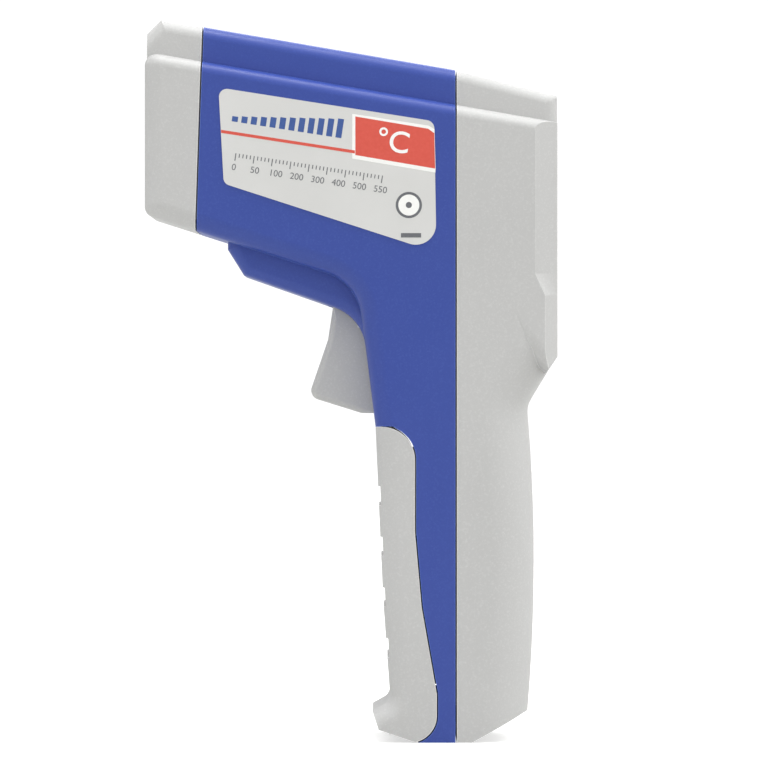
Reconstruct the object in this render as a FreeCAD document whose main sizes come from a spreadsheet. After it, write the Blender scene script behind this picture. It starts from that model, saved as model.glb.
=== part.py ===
"""Pistol-grip infrared thermometer as a parametric FreeCAD document, in millimetres.

+X points forward (the measuring nose), +Y to the user's left, +Z up along the grip.
The origin is on the surface the grip's foot stands on, midway along the length.
"""
import FreeCAD, Part
import os
import Sketcher

doc = FreeCAD.newDocument("infrared_thermometer")
sheet = doc.addObject("Spreadsheet::Sheet", "size")

# Driving dimensions: each is written once here and read by name everywhere else.
SIZES = {
    # Case, seen from the side
    "body_width": 41.0, "nose_reach": 47.2, "rear_reach": 47.2,
    "seam_x": -24.0, "nose_seam_x": 35.4, "nose_seam_tilt": 1.9, "seam_gap": 0.35,
    "barrel_slope": 9.7, "step_z": 145.5, "crest_z": 153.7, "rear_crest_z": 148.0, "hip_x": -27.0,
    "rail_inset": 3.0, "rail_setback": 0.5, "rail_nose_cut": 3.3, "underside_slope": 17.7,
    "wall": 2.2, "rear_wall": 3.0, "front_wall": 2.5,
    # Grip outline: front, toe, heel and back
    "grip_top_x": -1.5, "grip_top_z": 105.0, "grip_front_x": -5.6, "door_top_z": 72.0,
    "palm_x": -7.3, "palm_z": 33.0, "toe_root_x": -9.0, "toe_root_z": 9.2,
    "toe_tip_x": -4.9, "toe_tip_z": 6.9, "toe_under_x": -6.3, "toe_under_z": 2.9,
    "foot_front_x": -14.9, "foot_rear_x": -27.6, "heel_x": -39.9, "heel_z": 6.5,
    "neck_x": -40.4, "neck_z": 76.8,
    "flare_x": -44.4, "flare_z": 84.0, "flare_top_z": 88.0, "haunch_x": -31.0, "haunch_z": 99.7,
    # Chin under the barrel
    "chin_width": 29.0, "chin_front_x": 28.3, "chin_lip_z": 112.6, "chin_toe_x": 24.6,
    "chin_toe_z": 106.7, "chin_slope": 19.4,
    # Roundings
    "shoulder_round": 2.6, "rail_round": 2.8, "front_round": 4.0, "back_round": 10.0,
    "knee_round": 12.0, "chin_knee_round": 10.5, "nose_corner": 2.5, "edge_round": 1.0,
    "neck_round": 6.0, "back_crown": 400.0, "toe_hollow": 2.5,
    "chin_round": 2.5, "haunch_round": 4.0,
    "bevel_depth": 3.0, "bevel_length": 5.2, "bevel_short": 2.9, "bevel_high_z": 107.0,
    "bevel_low_z": 102.0,
    # Joint lips between the three case pieces
    "lip_fit": 0.15, "lip_wall": 1.2, "lip_reach": 2.4,
    # Battery door and its hinge
    "door_gap": 0.3, "door_side_x": -14.6, "door_side_z": 48.0, "door_mid_x": -16.1,
    "door_mid_z": 31.0, "door_low_x": -19.6, "door_heel_z": 11.0,
    "door_corner": 7.5, "hinge_drop": 6.2, "hinge_pin": 2.4, "hinge_run": 0.05,
    "knuckle_round": 2.6, "lug_near": 7.0, "lug_far": 12.4, "arm_near": 12.9, "arm_far": 17.4,
    "groove_height": 4.3, "groove_depth": 0.5, "groove_pitch": 11.6,
    "groove_first_z": 21.5,
    # Trigger
    "pivot_x": 5.0, "pivot_z": 106.0, "trigger_width": 12.8, "trigger_gap": 0.45,
    "trigger_pin": 2.5, "trigger_run": 0.05, "trigger_round": 1.5, "trigger_boss": 2.6,
    "slot_front_x": 5.6, "slot_rear_x": -14.2, "slot_low_z": 74.3, "cheek_long": 8.0,
    "arm_rear_x": -13.0, "arm_thick": 3.0, "arm_width": 8.0, "shelf_z": 115.5,
    "switch_x": -3.0, "switch_size": 6.0, "switch_wide": 10.0, "switch_tall": 3.6, "tip_round": 1.0,
    "spring_x": -10.2, "spring_round": 2.2, "spring_wire": 0.35, "spring_pitch": 1.4,
    # Measuring head
    "aperture_z": 140.0, "aperture_round": 9.5, "lens_depth": 14.2, "lens_round": 7.4,
    "lens_thick": 2.4, "lens_dome": 37.0, "tube_round": 9.0, "tube_bore": 6.6, "sensor_x": 5.2,
    "can_round": 4.6, "laser_offset": 13.6, "laser_round": 3.0, "laser_hole": 1.6,
    "laser_rear_x": 20.0, "laser_long": 18.0, "bracket_x": 24.0, "bracket_thick": 2.0,
    # Battery, a 9 V block, and its snap
    "battery_long": 48.5, "battery_wide": 26.5, "battery_thick": 17.5, "battery_x": -29.0,
    "battery_z": 13.0, "terminal_round": 3.4, "terminal_tall": 2.4, "terminal_y": 6.35,
    "snap_tall": 4.4, "divider_thick": 1.7,
    # Rear panel
    "window_width": 30.0, "window_height": 28.0, "window_z": 127.0, "window_depth": 1.5,
    "view_margin": 1.8, "key_width": 8.4, "key_height": 6.4, "key_z": 100.5, "key_between": 2.2,
    "key_gap": 0.2, "key_travel": 0.4, "plunger_round": 1.7, "board_x": -38.0,
    "board_thick": 1.6, "board_width": 33.5, "board_low_z": 92.0, "board_high_z": 139.0,
    "post_y": 15.9, "post_low_z": 94.2, "post_high_z": 136.4, "post_round": 1.9,
    # Screws, wires and labels
    "screw_round": 1.25, "small_screw": 0.95, "upper_screw_y": 9.0, "upper_screw_z": 143.6,
    "lower_screw_y": 14.5, "lower_screw_z": 69.5, "boss_round": 2.6, "wire_round": 0.6,
    "lead_round": 0.8, "lead_bend": 5.0, "label_thick": 0.2, "label_slope": 8.9,
    "seat_gap": 0.05,
}
for row, (alias, value) in enumerate(SIZES.items(), 1):
    sheet.set("A%d" % row, alias)
    sheet.set("B%d" % row, str(value))
    sheet.setAlias("B%d" % row, alias)
doc.recompute()

LEFT = 1
RIGHT = -1
UP = FreeCAD.Vector(0, 0, 1)


# ---------------------------------------------------------------- helpers
def origin_plane(body, role):
    return [item for item in body.Origin.OriginFeatures if item.Role == role][0]


def new_body(label):
    return doc.addObject("PartDesign::Body", label)


def outline(body, name, points, plane="XZ_Plane", arcs=None):
    """A closed outline; every corner is placed by two expressions.

    arcs maps the number of a side to the named sizes that add up to the radius it is bowed with.
    """
    arcs = arcs or {}
    sketch = body.newObject("Sketcher::SketchObject", name)
    sketch.AttachmentSupport = (origin_plane(body, plane), [""])
    sketch.MapMode = "FlatFace"
    count = len(points)
    for index in range(count):
        start = FreeCAD.Vector(index, index * index, 0)
        after = (index + 1) % count
        sketch.addGeometry(Part.LineSegment(start, FreeCAD.Vector(after, after * after, 0)), False)
    for index in range(count):
        sketch.addConstraint(Sketcher.Constraint("Coincident", index, 2, (index + 1) % count, 1))
    for index, (across, up) in enumerate(points):
        for kind, expression in (("DistanceX", across), ("DistanceY", up)):
            number = sketch.addConstraint(Sketcher.Constraint(kind, index, 1, 1.0 + index))
            sketch.setExpression("Constraints[%d]" % number, str(expression))
    if arcs:
        doc.recompute()
        bow_sides(sketch, arcs)
    return sketch


def bow_sides(sketch, arcs):
    """Lays an arc over each named side and turns the straight side into a guide line."""
    for index, names in arcs.items():
        start = sketch.Geometry[index].StartPoint
        end = sketch.Geometry[index].EndPoint
        chord = end - start
        radius = sum(SIZES[name] for name in names)
        rise = radius - (radius ** 2 - (chord.Length / 2) ** 2) ** 0.5
        outward = FreeCAD.Vector(chord.y, -chord.x, 0).normalize()
        peak = start + chord * 0.5 + outward * rise
        sketch.toggleConstruction(index)
        number = sketch.addGeometry(Part.Arc(start, peak, end), False)
        first_end = 1 if (sketch.Geometry[number].StartPoint - start).Length < 1e-6 else 2
        sketch.addConstraint(Sketcher.Constraint("Coincident", number, first_end, index, 1))
        sketch.addConstraint(Sketcher.Constraint("Coincident", number, 3 - first_end, index, 2))
        limit = sketch.addConstraint(Sketcher.Constraint("Radius", number, radius))
        sketch.setExpression("Constraints[%d]" % limit, " + ".join("size." + name for name in names))


def circle(body, name, across, up, radius, plane="XZ_Plane"):
    sketch = body.newObject("Sketcher::SketchObject", name)
    sketch.AttachmentSupport = (origin_plane(body, plane), [""])
    sketch.MapMode = "FlatFace"
    sketch.addGeometry(Part.Circle(FreeCAD.Vector(1, 1, 0), UP, 1), False)
    for kind, expression in (("DistanceX", across), ("DistanceY", up)):
        number = sketch.addConstraint(Sketcher.Constraint(kind, 0, 3, 1.0))
        sketch.setExpression("Constraints[%d]" % number, str(expression))
    number = sketch.addConstraint(Sketcher.Constraint("Radius", 0, 1.0))
    sketch.setExpression("Constraints[%d]" % number, str(radius))
    return sketch


def extrude(body, kind, name, sketch, width):
    """A pad or pocket that reaches half its width to each side of the sketch."""
    feature = body.newObject("PartDesign::" + kind, name)
    feature.Profile = sketch
    feature.SideType = "Symmetric"
    feature.setExpression("Length", str(width))
    doc.recompute()
    return feature


def prism(label, points, width, arcs=None):
    """A body of one symmetric pad; returns the body, its outline and the pad."""
    body = new_body(label)
    sketch = outline(body, label + "_outline", points, "XZ_Plane", arcs)
    return body, sketch, extrude(body, "Pad", label + "_pad", sketch, width)


def corner(sketch, index, y=0.0):
    point = sketch.Geometry[index].StartPoint
    return FreeCAD.Vector(point.x, y, point.y)


def middle(sketch, index, y, share=0.5):
    start = sketch.Geometry[index].StartPoint
    end = sketch.Geometry[index].EndPoint
    point = start + (end - start) * share
    return FreeCAD.Vector(point.x, y, point.y)


def both_sides(sketch, indices, half, share=0.5):
    return [middle(sketch, index, side * half, share) for index in indices for side in (LEFT, RIGHT)]


def edges_through(feature, points):
    """Names of the edges that pass through the given points."""
    names = set()
    for point in points:
        vertex = Part.Vertex(point)
        for number, edge in enumerate(feature.Shape.Edges, 1):
            if edge.distToShape(vertex)[0] < 1e-3:
                names.add("Edge%d" % number)
    return sorted(names)


def rounded(body, name, names, radius):
    base = body.Tip
    feature = body.newObject("PartDesign::Fillet", name)
    feature.Base = (base, names)
    feature.setExpression("Radius", str(radius))
    doc.recompute()
    return feature


def place(item, x="0", y="0", z="0"):
    item.setExpression("Placement.Base.x", "(%s) * 1mm" % x)
    item.setExpression("Placement.Base.y", "(%s) * 1mm" % y)
    item.setExpression("Placement.Base.z", "(%s) * 1mm" % z)
    return item


def block(label, x, y, z, length, width, height):
    """A box from its low corner x, its middle y and its low z."""
    item = doc.addObject("Part::Box", label)
    item.setExpression("Length", str(length))
    item.setExpression("Width", str(width))
    item.setExpression("Height", str(height))
    return place(item, x, "(%s) - (%s) / 2" % (y, width), z)


def rod(label, axis, x, y, z, radius, length):
    """A cylinder along an axis, from the end given."""
    item = doc.addObject("Part::Cylinder", label)
    item.Placement = FreeCAD.Placement(FreeCAD.Vector(), FreeCAD.Rotation(UP, FreeCAD.Vector(*axis)))
    item.setExpression("Radius", str(radius))
    item.setExpression("Height", str(length))
    return place(item, x, y, z)


def slab(label, thick, width, height, corner_round, x, y, z, plane="YZ_Plane"):
    """A plate with rounded corners; it stands on the plane through x, y and z, which is its middle."""
    body = new_body(label)
    half_w = "(%s) / 2" % width
    half_h = "(%s) / 2" % height
    points = [("-" + half_w, "-" + half_h), (half_w, "-" + half_h), (half_w, half_h),
              ("-" + half_w, half_h)]
    sketch = outline(body, label + "_outline", points, plane)
    pad = body.newObject("PartDesign::Pad", label + "_pad")
    pad.Profile = sketch
    pad.setExpression("Length", str(thick))
    doc.recompute()
    axis = "XLength" if plane == "YZ_Plane" else "ZLength"
    names = []
    for number, edge in enumerate(pad.Shape.Edges, 1):
        if getattr(edge.BoundBox, axis) > 1e-3:
            names.append("Edge%d" % number)
    rounded(body, label + "_corners", names, corner_round)
    return place(body, x, y, z)


def turned(label, points):
    """A body turned about the X axis from an outline of (place along X, radius)."""
    body = new_body(label)
    sketch = outline(body, label + "_outline", points)
    feature = body.newObject("PartDesign::Revolution", label + "_turn")
    feature.Profile = sketch
    feature.ReferenceAxis = (sketch, ["H_Axis"])
    feature.Angle = 360
    doc.recompute()
    return body


def combine(kind, label, parts):
    item = doc.addObject("Part::" + kind, label)
    if kind == "Cut":
        item.Base, item.Tool = parts
    elif kind == "Compound":
        item.Links = parts
    else:
        item.Shapes = parts
    if kind in ("MultiFuse", "Cut", "MultiCommon"):
        item.Refine = True
    doc.recompute()
    return item


def fuse(label, *parts):
    return combine("MultiFuse", label, list(parts))


def cut(label, base, *tools):
    if len(tools) > 1:
        return combine("Cut", label, (base, fuse(label + "_tools", *tools)))
    return combine("Cut", label, (base, tools[0]))


def common(label, *parts):
    return combine("MultiCommon", label, list(parts))


# ---------------------------------------------------------------- lines of the case
def along(base_z, x, angle, base_x):
    """Height at x of a line through (base_x, base_z) that climbs forward by an angle."""
    return "((%s) + ((%s) - (%s)) * tan((%s) * 1deg))" % (base_z, x, base_x, angle)


def step_at(x):
    return along("size.step_z", x, "size.barrel_slope", "size.seam_x")


def crest_at(x):
    return along("size.crest_z", x, "size.barrel_slope", "size.seam_x")


def under_at(x):
    return along("size.grip_top_z", x, "size.underside_slope", "size.grip_top_x")


def front_at(z):
    """X of the grip's front line above the battery door at a height."""
    run = "(size.grip_top_x - size.grip_front_x) / (size.grip_top_z - size.door_top_z)"
    return "(size.grip_top_x - (size.grip_top_z - (%s)) * %s)" % (z, run)


def nose_seam_at(z):
    low = under_at("size.nose_seam_x")
    return "(size.nose_seam_x - ((%s) - %s) * tan(size.nose_seam_tilt * 1deg))" % (z, low)


half_width = SIZES["body_width"] / 2
rail_width = "(size.body_width - 2 * size.rail_inset)"
half_rail = half_width - SIZES["rail_inset"]

# ---------------------------------------------------------------- outer form of the case
# Barrel front, grip and flare up to the neck, as one wide form.
wide, wide_line, wide_pad = prism("wide_form", [
    ("size.nose_reach", under_at("size.nose_reach")),
    ("size.nose_reach", step_at("size.nose_reach")),
    ("size.seam_x", "size.step_z"),
    ("size.seam_x", "size.haunch_z"),
    ("-size.rear_reach", "size.haunch_z"),
    ("-size.rear_reach", "size.flare_top_z"),
    ("size.neck_x", "size.neck_z"),
    ("size.heel_x", "0"),
    ("size.foot_front_x", "0"),
    ("size.toe_under_x", "size.toe_under_z"),
    ("size.toe_tip_x", "size.toe_tip_z"),
    ("size.toe_root_x", "size.toe_root_z"),
    ("size.palm_x", "size.palm_z"),
    ("size.grip_front_x", "size.door_top_z"),
    ("size.grip_top_x", "size.grip_top_z"),
], "size.body_width", {6: ["back_crown"]})
NOSE_LOW, TOP, FLARE, NECK, TOE_ROOT, PALM, GRIP, KNEE = 0, 1, 5, 6, 11, 12, 13, 14


def round_corner(body, name, sketch, index, radius):
    return rounded(body, name, edges_through(body.Tip, [corner(sketch, index)]), radius)


round_corner(wide, "neck_hollow", wide_line, NECK, "size.neck_round")
round_corner(wide, "toe_hollow_round", wide_line, TOE_ROOT, "size.toe_hollow")
round_corner(wide, "knee_hollow", wide_line, KNEE, "size.knee_round")
round_corner(wide, "nose_corner_round", wide_line, NOSE_LOW, "size.nose_corner")
rounded(wide, "back_rounding", edges_through(wide.Tip,
                                             both_sides(wide_line, [FLARE - 1, FLARE], half_width)),
        "size.back_round")
rounded(wide, "front_rounding", edges_through(wide.Tip, both_sides(wide_line, [GRIP, PALM], half_width)),
        "size.front_round")
rounded(wide, "shoulder_rounding", edges_through(wide.Tip, both_sides(wide_line, [TOP], half_width)),
        "size.shoulder_round")

heel_line = [("size.foot_rear_x", "0"), ("size.heel_x + 0.4", "size.heel_z"),
             ("-size.rear_reach - 4", "size.heel_z + 4"), ("-size.rear_reach - 4", "-5"),
             ("size.foot_rear_x", "-5")]
heel_cut, heel_outline, heel_pad = prism("heel_cut", heel_line, "size.body_width + 4")
wide_form = cut("wide_trimmed", wide, heel_cut)

# Rear of the barrel: an overhanging block whose rear corners are bevelled towards the panel.
rear, rear_line, rear_pad = prism("rear_form", [
    ("size.seam_x", "size.haunch_z"),
    ("size.haunch_x", "size.haunch_z"),
    ("size.flare_x", "size.flare_z"),
    ("-size.rear_reach", "size.flare_top_z"),
    ("-size.rear_reach", step_at("-size.rear_reach")),
    ("size.seam_x", "size.step_z"),
], "size.body_width")
rounded(rear, "rear_shoulder", edges_through(rear.Tip, both_sides(rear_line, [4], half_width)),
        "size.shoulder_round")
rounded(rear, "haunch_rounding", edges_through(rear.Tip, both_sides(rear_line, [1], half_width)),
        "size.haunch_round")


def bevel(side):
    """The wedge cut from one rear corner; it narrows lower down."""
    body = new_body("bevel_left" if side == LEFT else "bevel_right")
    sketches = []
    levels = [("size.flare_z - 10", "size.bevel_short"), ("size.bevel_low_z", "size.bevel_short"),
              ("size.bevel_high_z", "size.bevel_length"), ("size.step_z + 10", "size.bevel_length")]
    out = "%d * (size.body_width / 2 + 2)" % side
    edge = "%d * size.body_width / 2" % side
    inner = "%d * (size.body_width / 2 - size.bevel_depth)" % side
    for number, (level, length) in enumerate(levels):
        points = [("-size.rear_reach", inner), ("-size.rear_reach + (%s)" % length, edge),
                  ("-size.rear_reach + (%s)" % length, out), ("-size.rear_reach - 2", out),
                  ("-size.rear_reach - 2", inner)]
        sketch = outline(body, "%s_level_%d" % (body.Label, number), points, "XY_Plane")
        sketch.setExpression("AttachmentOffset.Base.z", "(%s) * 1mm" % level)
        sketches.append(sketch)
    loft = body.newObject("PartDesign::AdditiveLoft", body.Label + "_loft")
    loft.Profile = sketches[0]
    loft.Sections = sketches[1:]
    loft.Ruled = True
    doc.recompute()
    return body


rear_form = cut("rear_bevelled", rear, bevel(LEFT), bevel(RIGHT))

# Narrow rail along the top, with its front corner cut back.
rail, rail_line, rail_pad = prism("rail_form", [
    ("size.nose_reach - size.rail_setback", step_at("size.nose_reach") + " - 5"),
    ("size.nose_reach - size.rail_setback",
     crest_at("size.nose_reach - size.rail_setback - size.rail_nose_cut") + " - size.rail_nose_cut"),
    ("size.nose_reach - size.rail_setback - size.rail_nose_cut",
     crest_at("size.nose_reach - size.rail_setback - size.rail_nose_cut")),
    ("size.hip_x", crest_at("size.hip_x")),
    ("-size.rear_reach", "size.rear_crest_z"),
    ("-size.rear_reach", step_at("-size.rear_reach") + " - 5"),
    ("size.seam_x", "size.step_z - 5"),
], rail_width)
round_corner(rail, "rail_rear_corner", rail_line, 4, "size.edge_round")
rounded(rail, "rail_rounding", edges_through(rail.Tip, both_sides(rail_line, [1, 2, 3], half_rail)),
        "size.rail_round")

# Chin: the narrower belly under the barrel that the trigger hangs from.
chin, chin_line, chin_pad = prism("chin_form", [
    ("size.chin_front_x", under_at("size.chin_front_x") + " + 2"),
    ("size.chin_front_x", "size.chin_lip_z"),
    ("size.chin_toe_x", "size.chin_toe_z"),
    (front_at("size.grip_top_z - 7.4"),
     along("size.chin_toe_z", front_at("size.grip_top_z - 7.4"), "size.chin_slope", "size.chin_toe_x")),
    (front_at("size.door_top_z + 10"), "size.door_top_z + 10"),
    ("size.grip_front_x - 8", "size.door_top_z + 10"),
    ("size.grip_front_x - 8", "size.grip_top_z + 4"),
], "size.chin_width")
half_chin = SIZES["chin_width"] / 2
round_corner(chin, "chin_knee", chin_line, 3, "size.chin_knee_round")
rounded(chin, "chin_rounding", edges_through(chin.Tip, both_sides(chin_line, [0, 1, 2], half_chin)),
        "size.chin_round")

case_form = fuse("case_form", wide_form, rear_form, rail, chin)


# ---------------------------------------------------------------- hollow inside of the case
def hollow(label, inset):
    """The room inside the case, a distance in from its outer faces."""
    back = "(size.back_round - (%s))" % inset
    grip_x = "size.neck_x + (%s)" % inset
    room, line, pad = prism(label + "_main", [
        ("size.nose_reach - size.front_wall - (%s) + size.wall" % inset,
         under_at("size.nose_reach - size.front_wall") + " + (%s) * 1.1" % inset),
        ("size.nose_reach - size.front_wall - (%s) + size.wall" % inset,
         step_at("size.nose_reach - size.front_wall") + " - (%s)" % inset),
        ("-size.rear_reach + size.rear_wall - size.wall + (%s)" % inset,
         step_at("-size.rear_reach + size.rear_wall") + " - (%s)" % inset),
        ("-size.rear_reach + size.rear_wall - size.wall + (%s)" % inset, "size.flare_top_z + 3"),
        (grip_x, "size.flare_z"),
        (grip_x, "size.heel_z + (%s) + 2" % inset),
        ("size.foot_rear_x", "(%s)" % inset),
        ("size.foot_front_x + 3", "(%s)" % inset),
        ("size.toe_root_x - (%s)" % inset, "size.toe_root_z + 4"),
        ("size.palm_x - (%s)" % inset, "size.palm_z"),
        ("size.grip_front_x - (%s)" % inset, "size.door_top_z"),
        ("size.grip_top_x - (%s)" % inset, "size.grip_top_z + (%s) * 1.1" % inset),
    ], "size.body_width - 2 * (%s)" % inset)
    half = half_width - SIZES["wall"]
    if inset == "size.wall":
        rounded(room, label + "_back", edges_through(room.Tip, both_sides(line, [4, 5], half)), back)
    attic = prism(label + "_rail", [
        ("size.nose_reach - size.front_wall - 3 - (%s) + size.wall" % inset,
         step_at("size.nose_reach") + " - 6"),
        ("size.nose_reach - size.front_wall - 3 - (%s) + size.wall" % inset,
         crest_at("size.nose_reach - size.front_wall - 3") + " - (%s)" % inset),
        ("size.hip_x", crest_at("size.hip_x") + " - (%s)" % inset),
        ("-size.rear_reach + size.rear_wall - size.wall + (%s)" % inset,
         "size.rear_crest_z - (%s)" % inset),
        ("-size.rear_reach + size.rear_wall - size.wall + (%s)" % inset,
         step_at("-size.rear_reach") + " - 6"),
        ("size.seam_x", "size.step_z - 6"),
    ], rail_width + " - 2 * (%s)" % inset)[0]
    return fuse(label, room, attic)


room = hollow("room", "size.wall")
chin_room = prism("chin_room", [
    ("size.chin_front_x - size.wall", under_at("size.chin_front_x") + " + 3"),
    ("size.chin_front_x - size.wall", "size.chin_lip_z + 1"),
    ("size.chin_toe_x - size.wall * 0.8", "size.chin_toe_z + size.wall * 1.1"),
    (front_at("size.grip_top_z - 7.4") + " - 1",
     along("size.chin_toe_z", front_at("size.grip_top_z - 7.4"), "size.chin_slope", "size.chin_toe_x")
     + " + size.wall * 1.1"),
    (front_at("size.grip_top_z - 7.4") + " - 1", "size.grip_top_z + 4"),
], "size.chin_width - 2 * size.wall")[0]
shell = cut("shell", case_form, room, chin_room)

# ---------------------------------------------------------------- where the case parts
beyond = "size.nose_reach + 10"
above = "size.crest_z + 30"
nose_low_z = under_at("size.nose_seam_x") + " - 8"


def seam_edge(offset, z):
    return (nose_seam_at(z) + " + (%s)" % offset, z)


def nose_side(label, offset):
    """Everything forward of the nose seam, moved by an offset."""
    return prism(label, [
        seam_edge(offset, nose_low_z), (beyond, nose_low_z), (beyond, above), seam_edge(offset, above),
    ], "size.body_width + 4")[0]


def rear_side(label, offset):
    """Everything behind the main seam, moved by an offset."""
    return prism(label, [
        ("-size.rear_reach - 5", "-5"), ("size.seam_x + (%s)" % offset, "-5"),
        ("size.seam_x + (%s)" % offset, above), ("-size.rear_reach - 5", above),
    ], "size.body_width + 4")[0]


def door_region(label, extra):
    """Where the battery door is, or with its gap added, the hole that it closes."""
    grow = "size." + extra if extra else "0"
    body, line, pad = prism(label, [
        ("size.seam_x + 40", "-(%s)" % grow), ("size.seam_x + 40", "size.door_top_z + (%s)" % grow),
        ("size.door_side_x - (%s)" % grow, "size.door_top_z + (%s)" % grow),
        ("size.door_side_x - (%s)" % grow, "size.door_side_z"),
        ("size.door_mid_x - (%s)" % grow, "size.door_mid_z"),
        ("size.door_low_x - (%s)" % grow, "size.door_heel_z"),
        ("size.door_low_x - (%s)" % grow, "size.hinge_drop"),
        ("size.door_low_x + size.hinge_drop", "-(%s)" % grow),
    ], "size.body_width + 4", {6: ["hinge_drop"] + ([extra] if extra else [])})
    round_corner(body, label + "_top_corner", line, 2, "size.door_corner + (%s)" % grow)
    return body


door_area = door_region("door_area", "")
door_hole = door_region("door_hole", "door_gap")
nose_shell = common("nose_shell", shell, nose_side("nose_region", "size.seam_gap / 2"))
front_region = prism("front_region", [
    ("size.seam_x + size.seam_gap / 2", "-5"), (beyond, "-5"), (beyond, nose_low_z),
    seam_edge("-size.seam_gap / 2", nose_low_z), seam_edge("-size.seam_gap / 2", above),
    ("size.seam_x + size.seam_gap / 2", above),
], "size.body_width + 4")[0]
front_shell = cut("front_shell", common("front_part", shell, front_region), door_hole)
rear_shell = common("rear_shell", shell, rear_side("rear_region", "-size.seam_gap / 2"))
door_shell = common("door_shell", shell, door_area)

# Lips: a thin ring inside each seam, carried by a step in the wall of its own piece.
lip_inner = hollow("lip_inner", "(size.wall + size.lip_fit + size.lip_wall)")
lip_ring = cut("lip_ring", hollow("lip_outer", "(size.wall + size.lip_fit)"), lip_inner)
lip_root = cut("lip_root", hollow("lip_root_outer", "(size.wall - 0.4)"), lip_inner)
rear_band = block("rear_band", "size.seam_x - 1.5", "0", "size.heel_z + 2", "size.lip_reach + 1.5",
                  "size.body_width", above)
rear_root_band = block("rear_root_band", "size.seam_x - 2.5", "0", "size.heel_z + 2", "1.6",
                       "size.body_width", above)


def seam_band(label, start, stop):
    """The space between two lines parallel to the nose seam."""
    return prism(label, [
        seam_edge(start, nose_low_z), seam_edge(stop, nose_low_z), seam_edge(stop, above),
        seam_edge(start, above),
    ], "size.body_width")[0]


rear_lip = fuse("rear_lip", common("rear_lip_ring", lip_ring, rear_band),
                common("rear_lip_step", lip_root, rear_root_band))
nose_lip = fuse("nose_lip", common("nose_lip_ring", lip_ring,
                                   seam_band("nose_band", "-size.lip_reach", "1.5")),
                common("nose_lip_step", lip_root, seam_band("nose_root_band", "0.9", "2.5")))


# ---------------------------------------------------------------- shared pieces
def side_block(label, side, x, near, far, z, length, height):
    """A block on one side, from one distance off the middle plane to another."""
    middle_y = "%d * ((%s) + (%s)) / 2" % (side, near, far)
    return block(label, x, middle_y, z, length, "(%s) - (%s)" % (far, near), height)


def bore(label, x, y, z, radius, length):
    return rod(label, (1, 0, 0), x, y, z, radius, length)


def cross_pin(label, x, z, radius, length):
    """A cylinder across the case, centred on the middle plane."""
    return rod(label, (0, 1, 0), x, "-(%s) / 2" % length, z, radius, length)


def screw(label, x, y, z, shank, length):
    """A pan-head screw driven backwards; x is the face that its head sits on."""
    head = bore(label + "_head", x, y, z, "(%s) * 1.9" % shank, "(%s) * 1.3" % shank)
    stem = bore(label + "_stem", "(%s) - (%s)" % (x, length), y, z, shank, length)
    return fuse(label, head, stem)


def group(label, items):
    return combine("Compound", label, items)


def pair(label, maker):
    """One maker called for the left and for the right, as separate solids in one node."""
    return group(label, [maker(label + "_left", LEFT), maker(label + "_right", RIGHT)])


SIDES = (("left", LEFT), ("right", RIGHT))
inner_half = "(size.body_width / 2 - size.wall)"
chin_inner_half = "(size.chin_width / 2 - size.wall)"
nose_inside = "(size.nose_reach - size.front_wall)"
rear_inside = "(-size.rear_reach + size.rear_wall)"
tube_front = "(size.nose_reach - size.lens_depth)"
board_front = "(size.board_x + size.board_thick)"

# ---------------------------------------------------------------- nose cap
aperture = place(turned("aperture", [
    ("size.nose_reach - size.front_wall - 2", "0"), ("size.nose_reach + 2", "0"),
    ("size.nose_reach + 2", "size.aperture_round + 3.2"), ("size.nose_reach - 1.2",
                                                           "size.aperture_round"),
    ("size.nose_reach - size.front_wall - 2", "size.aperture_round"),
]), "0", "0", "size.aperture_z")


def laser_opening(side):
    """Hole for one aiming beam, opened out to a shallow cone at the face."""
    name = "laser_opening_left" if side == LEFT else "laser_opening_right"
    return place(turned(name, [
        ("size.nose_reach - size.front_wall - 2", "0"), ("size.nose_reach + 1", "0"),
        ("size.nose_reach + 1", "size.laser_hole + 1.3"), ("size.nose_reach - 0.9", "size.laser_hole"),
        ("size.nose_reach - size.front_wall - 2", "size.laser_hole"),
    ]), "0", "%d * size.laser_offset" % side, "size.aperture_z")


nose_cap = cut("nose_cap", fuse("nose_cap_body", nose_shell, nose_lip),
               aperture, laser_opening(LEFT), laser_opening(RIGHT))

# ---------------------------------------------------------------- battery door
door_cuts = []
for row in range(4):
    z = "size.groove_first_z + %d * size.groove_pitch" % row
    groove = block("groove_%d" % row, "size.grip_front_x - 6", "0", "%s - size.groove_height / 2" % z,
                   "12", "size.body_width", "size.groove_height")
    door_cuts.append(groove)
groove_line = [
    ("size.palm_x - size.groove_depth", "size.palm_z"), ("size.toe_root_x - size.groove_depth",
                                                         "size.toe_root_z"),
    ("size.grip_front_x + 10", "size.toe_root_z"), ("size.grip_front_x + 10", "size.door_top_z"),
    ("size.grip_front_x - size.groove_depth", "size.door_top_z"),
]
groove_zone = prism("groove_zone", groove_line, "size.body_width")[0]
grooves = common("grooves", groove_zone, group("groove_rows", door_cuts))
hinge_x = "(size.door_low_x + size.hinge_drop)"
hinge_z = "size.hinge_drop"
arm_tall = "size.battery_z - 2 - size.hinge_drop + size.knuckle_round"
notches = []
lugs = []
arms = []
tabs = []
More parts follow.
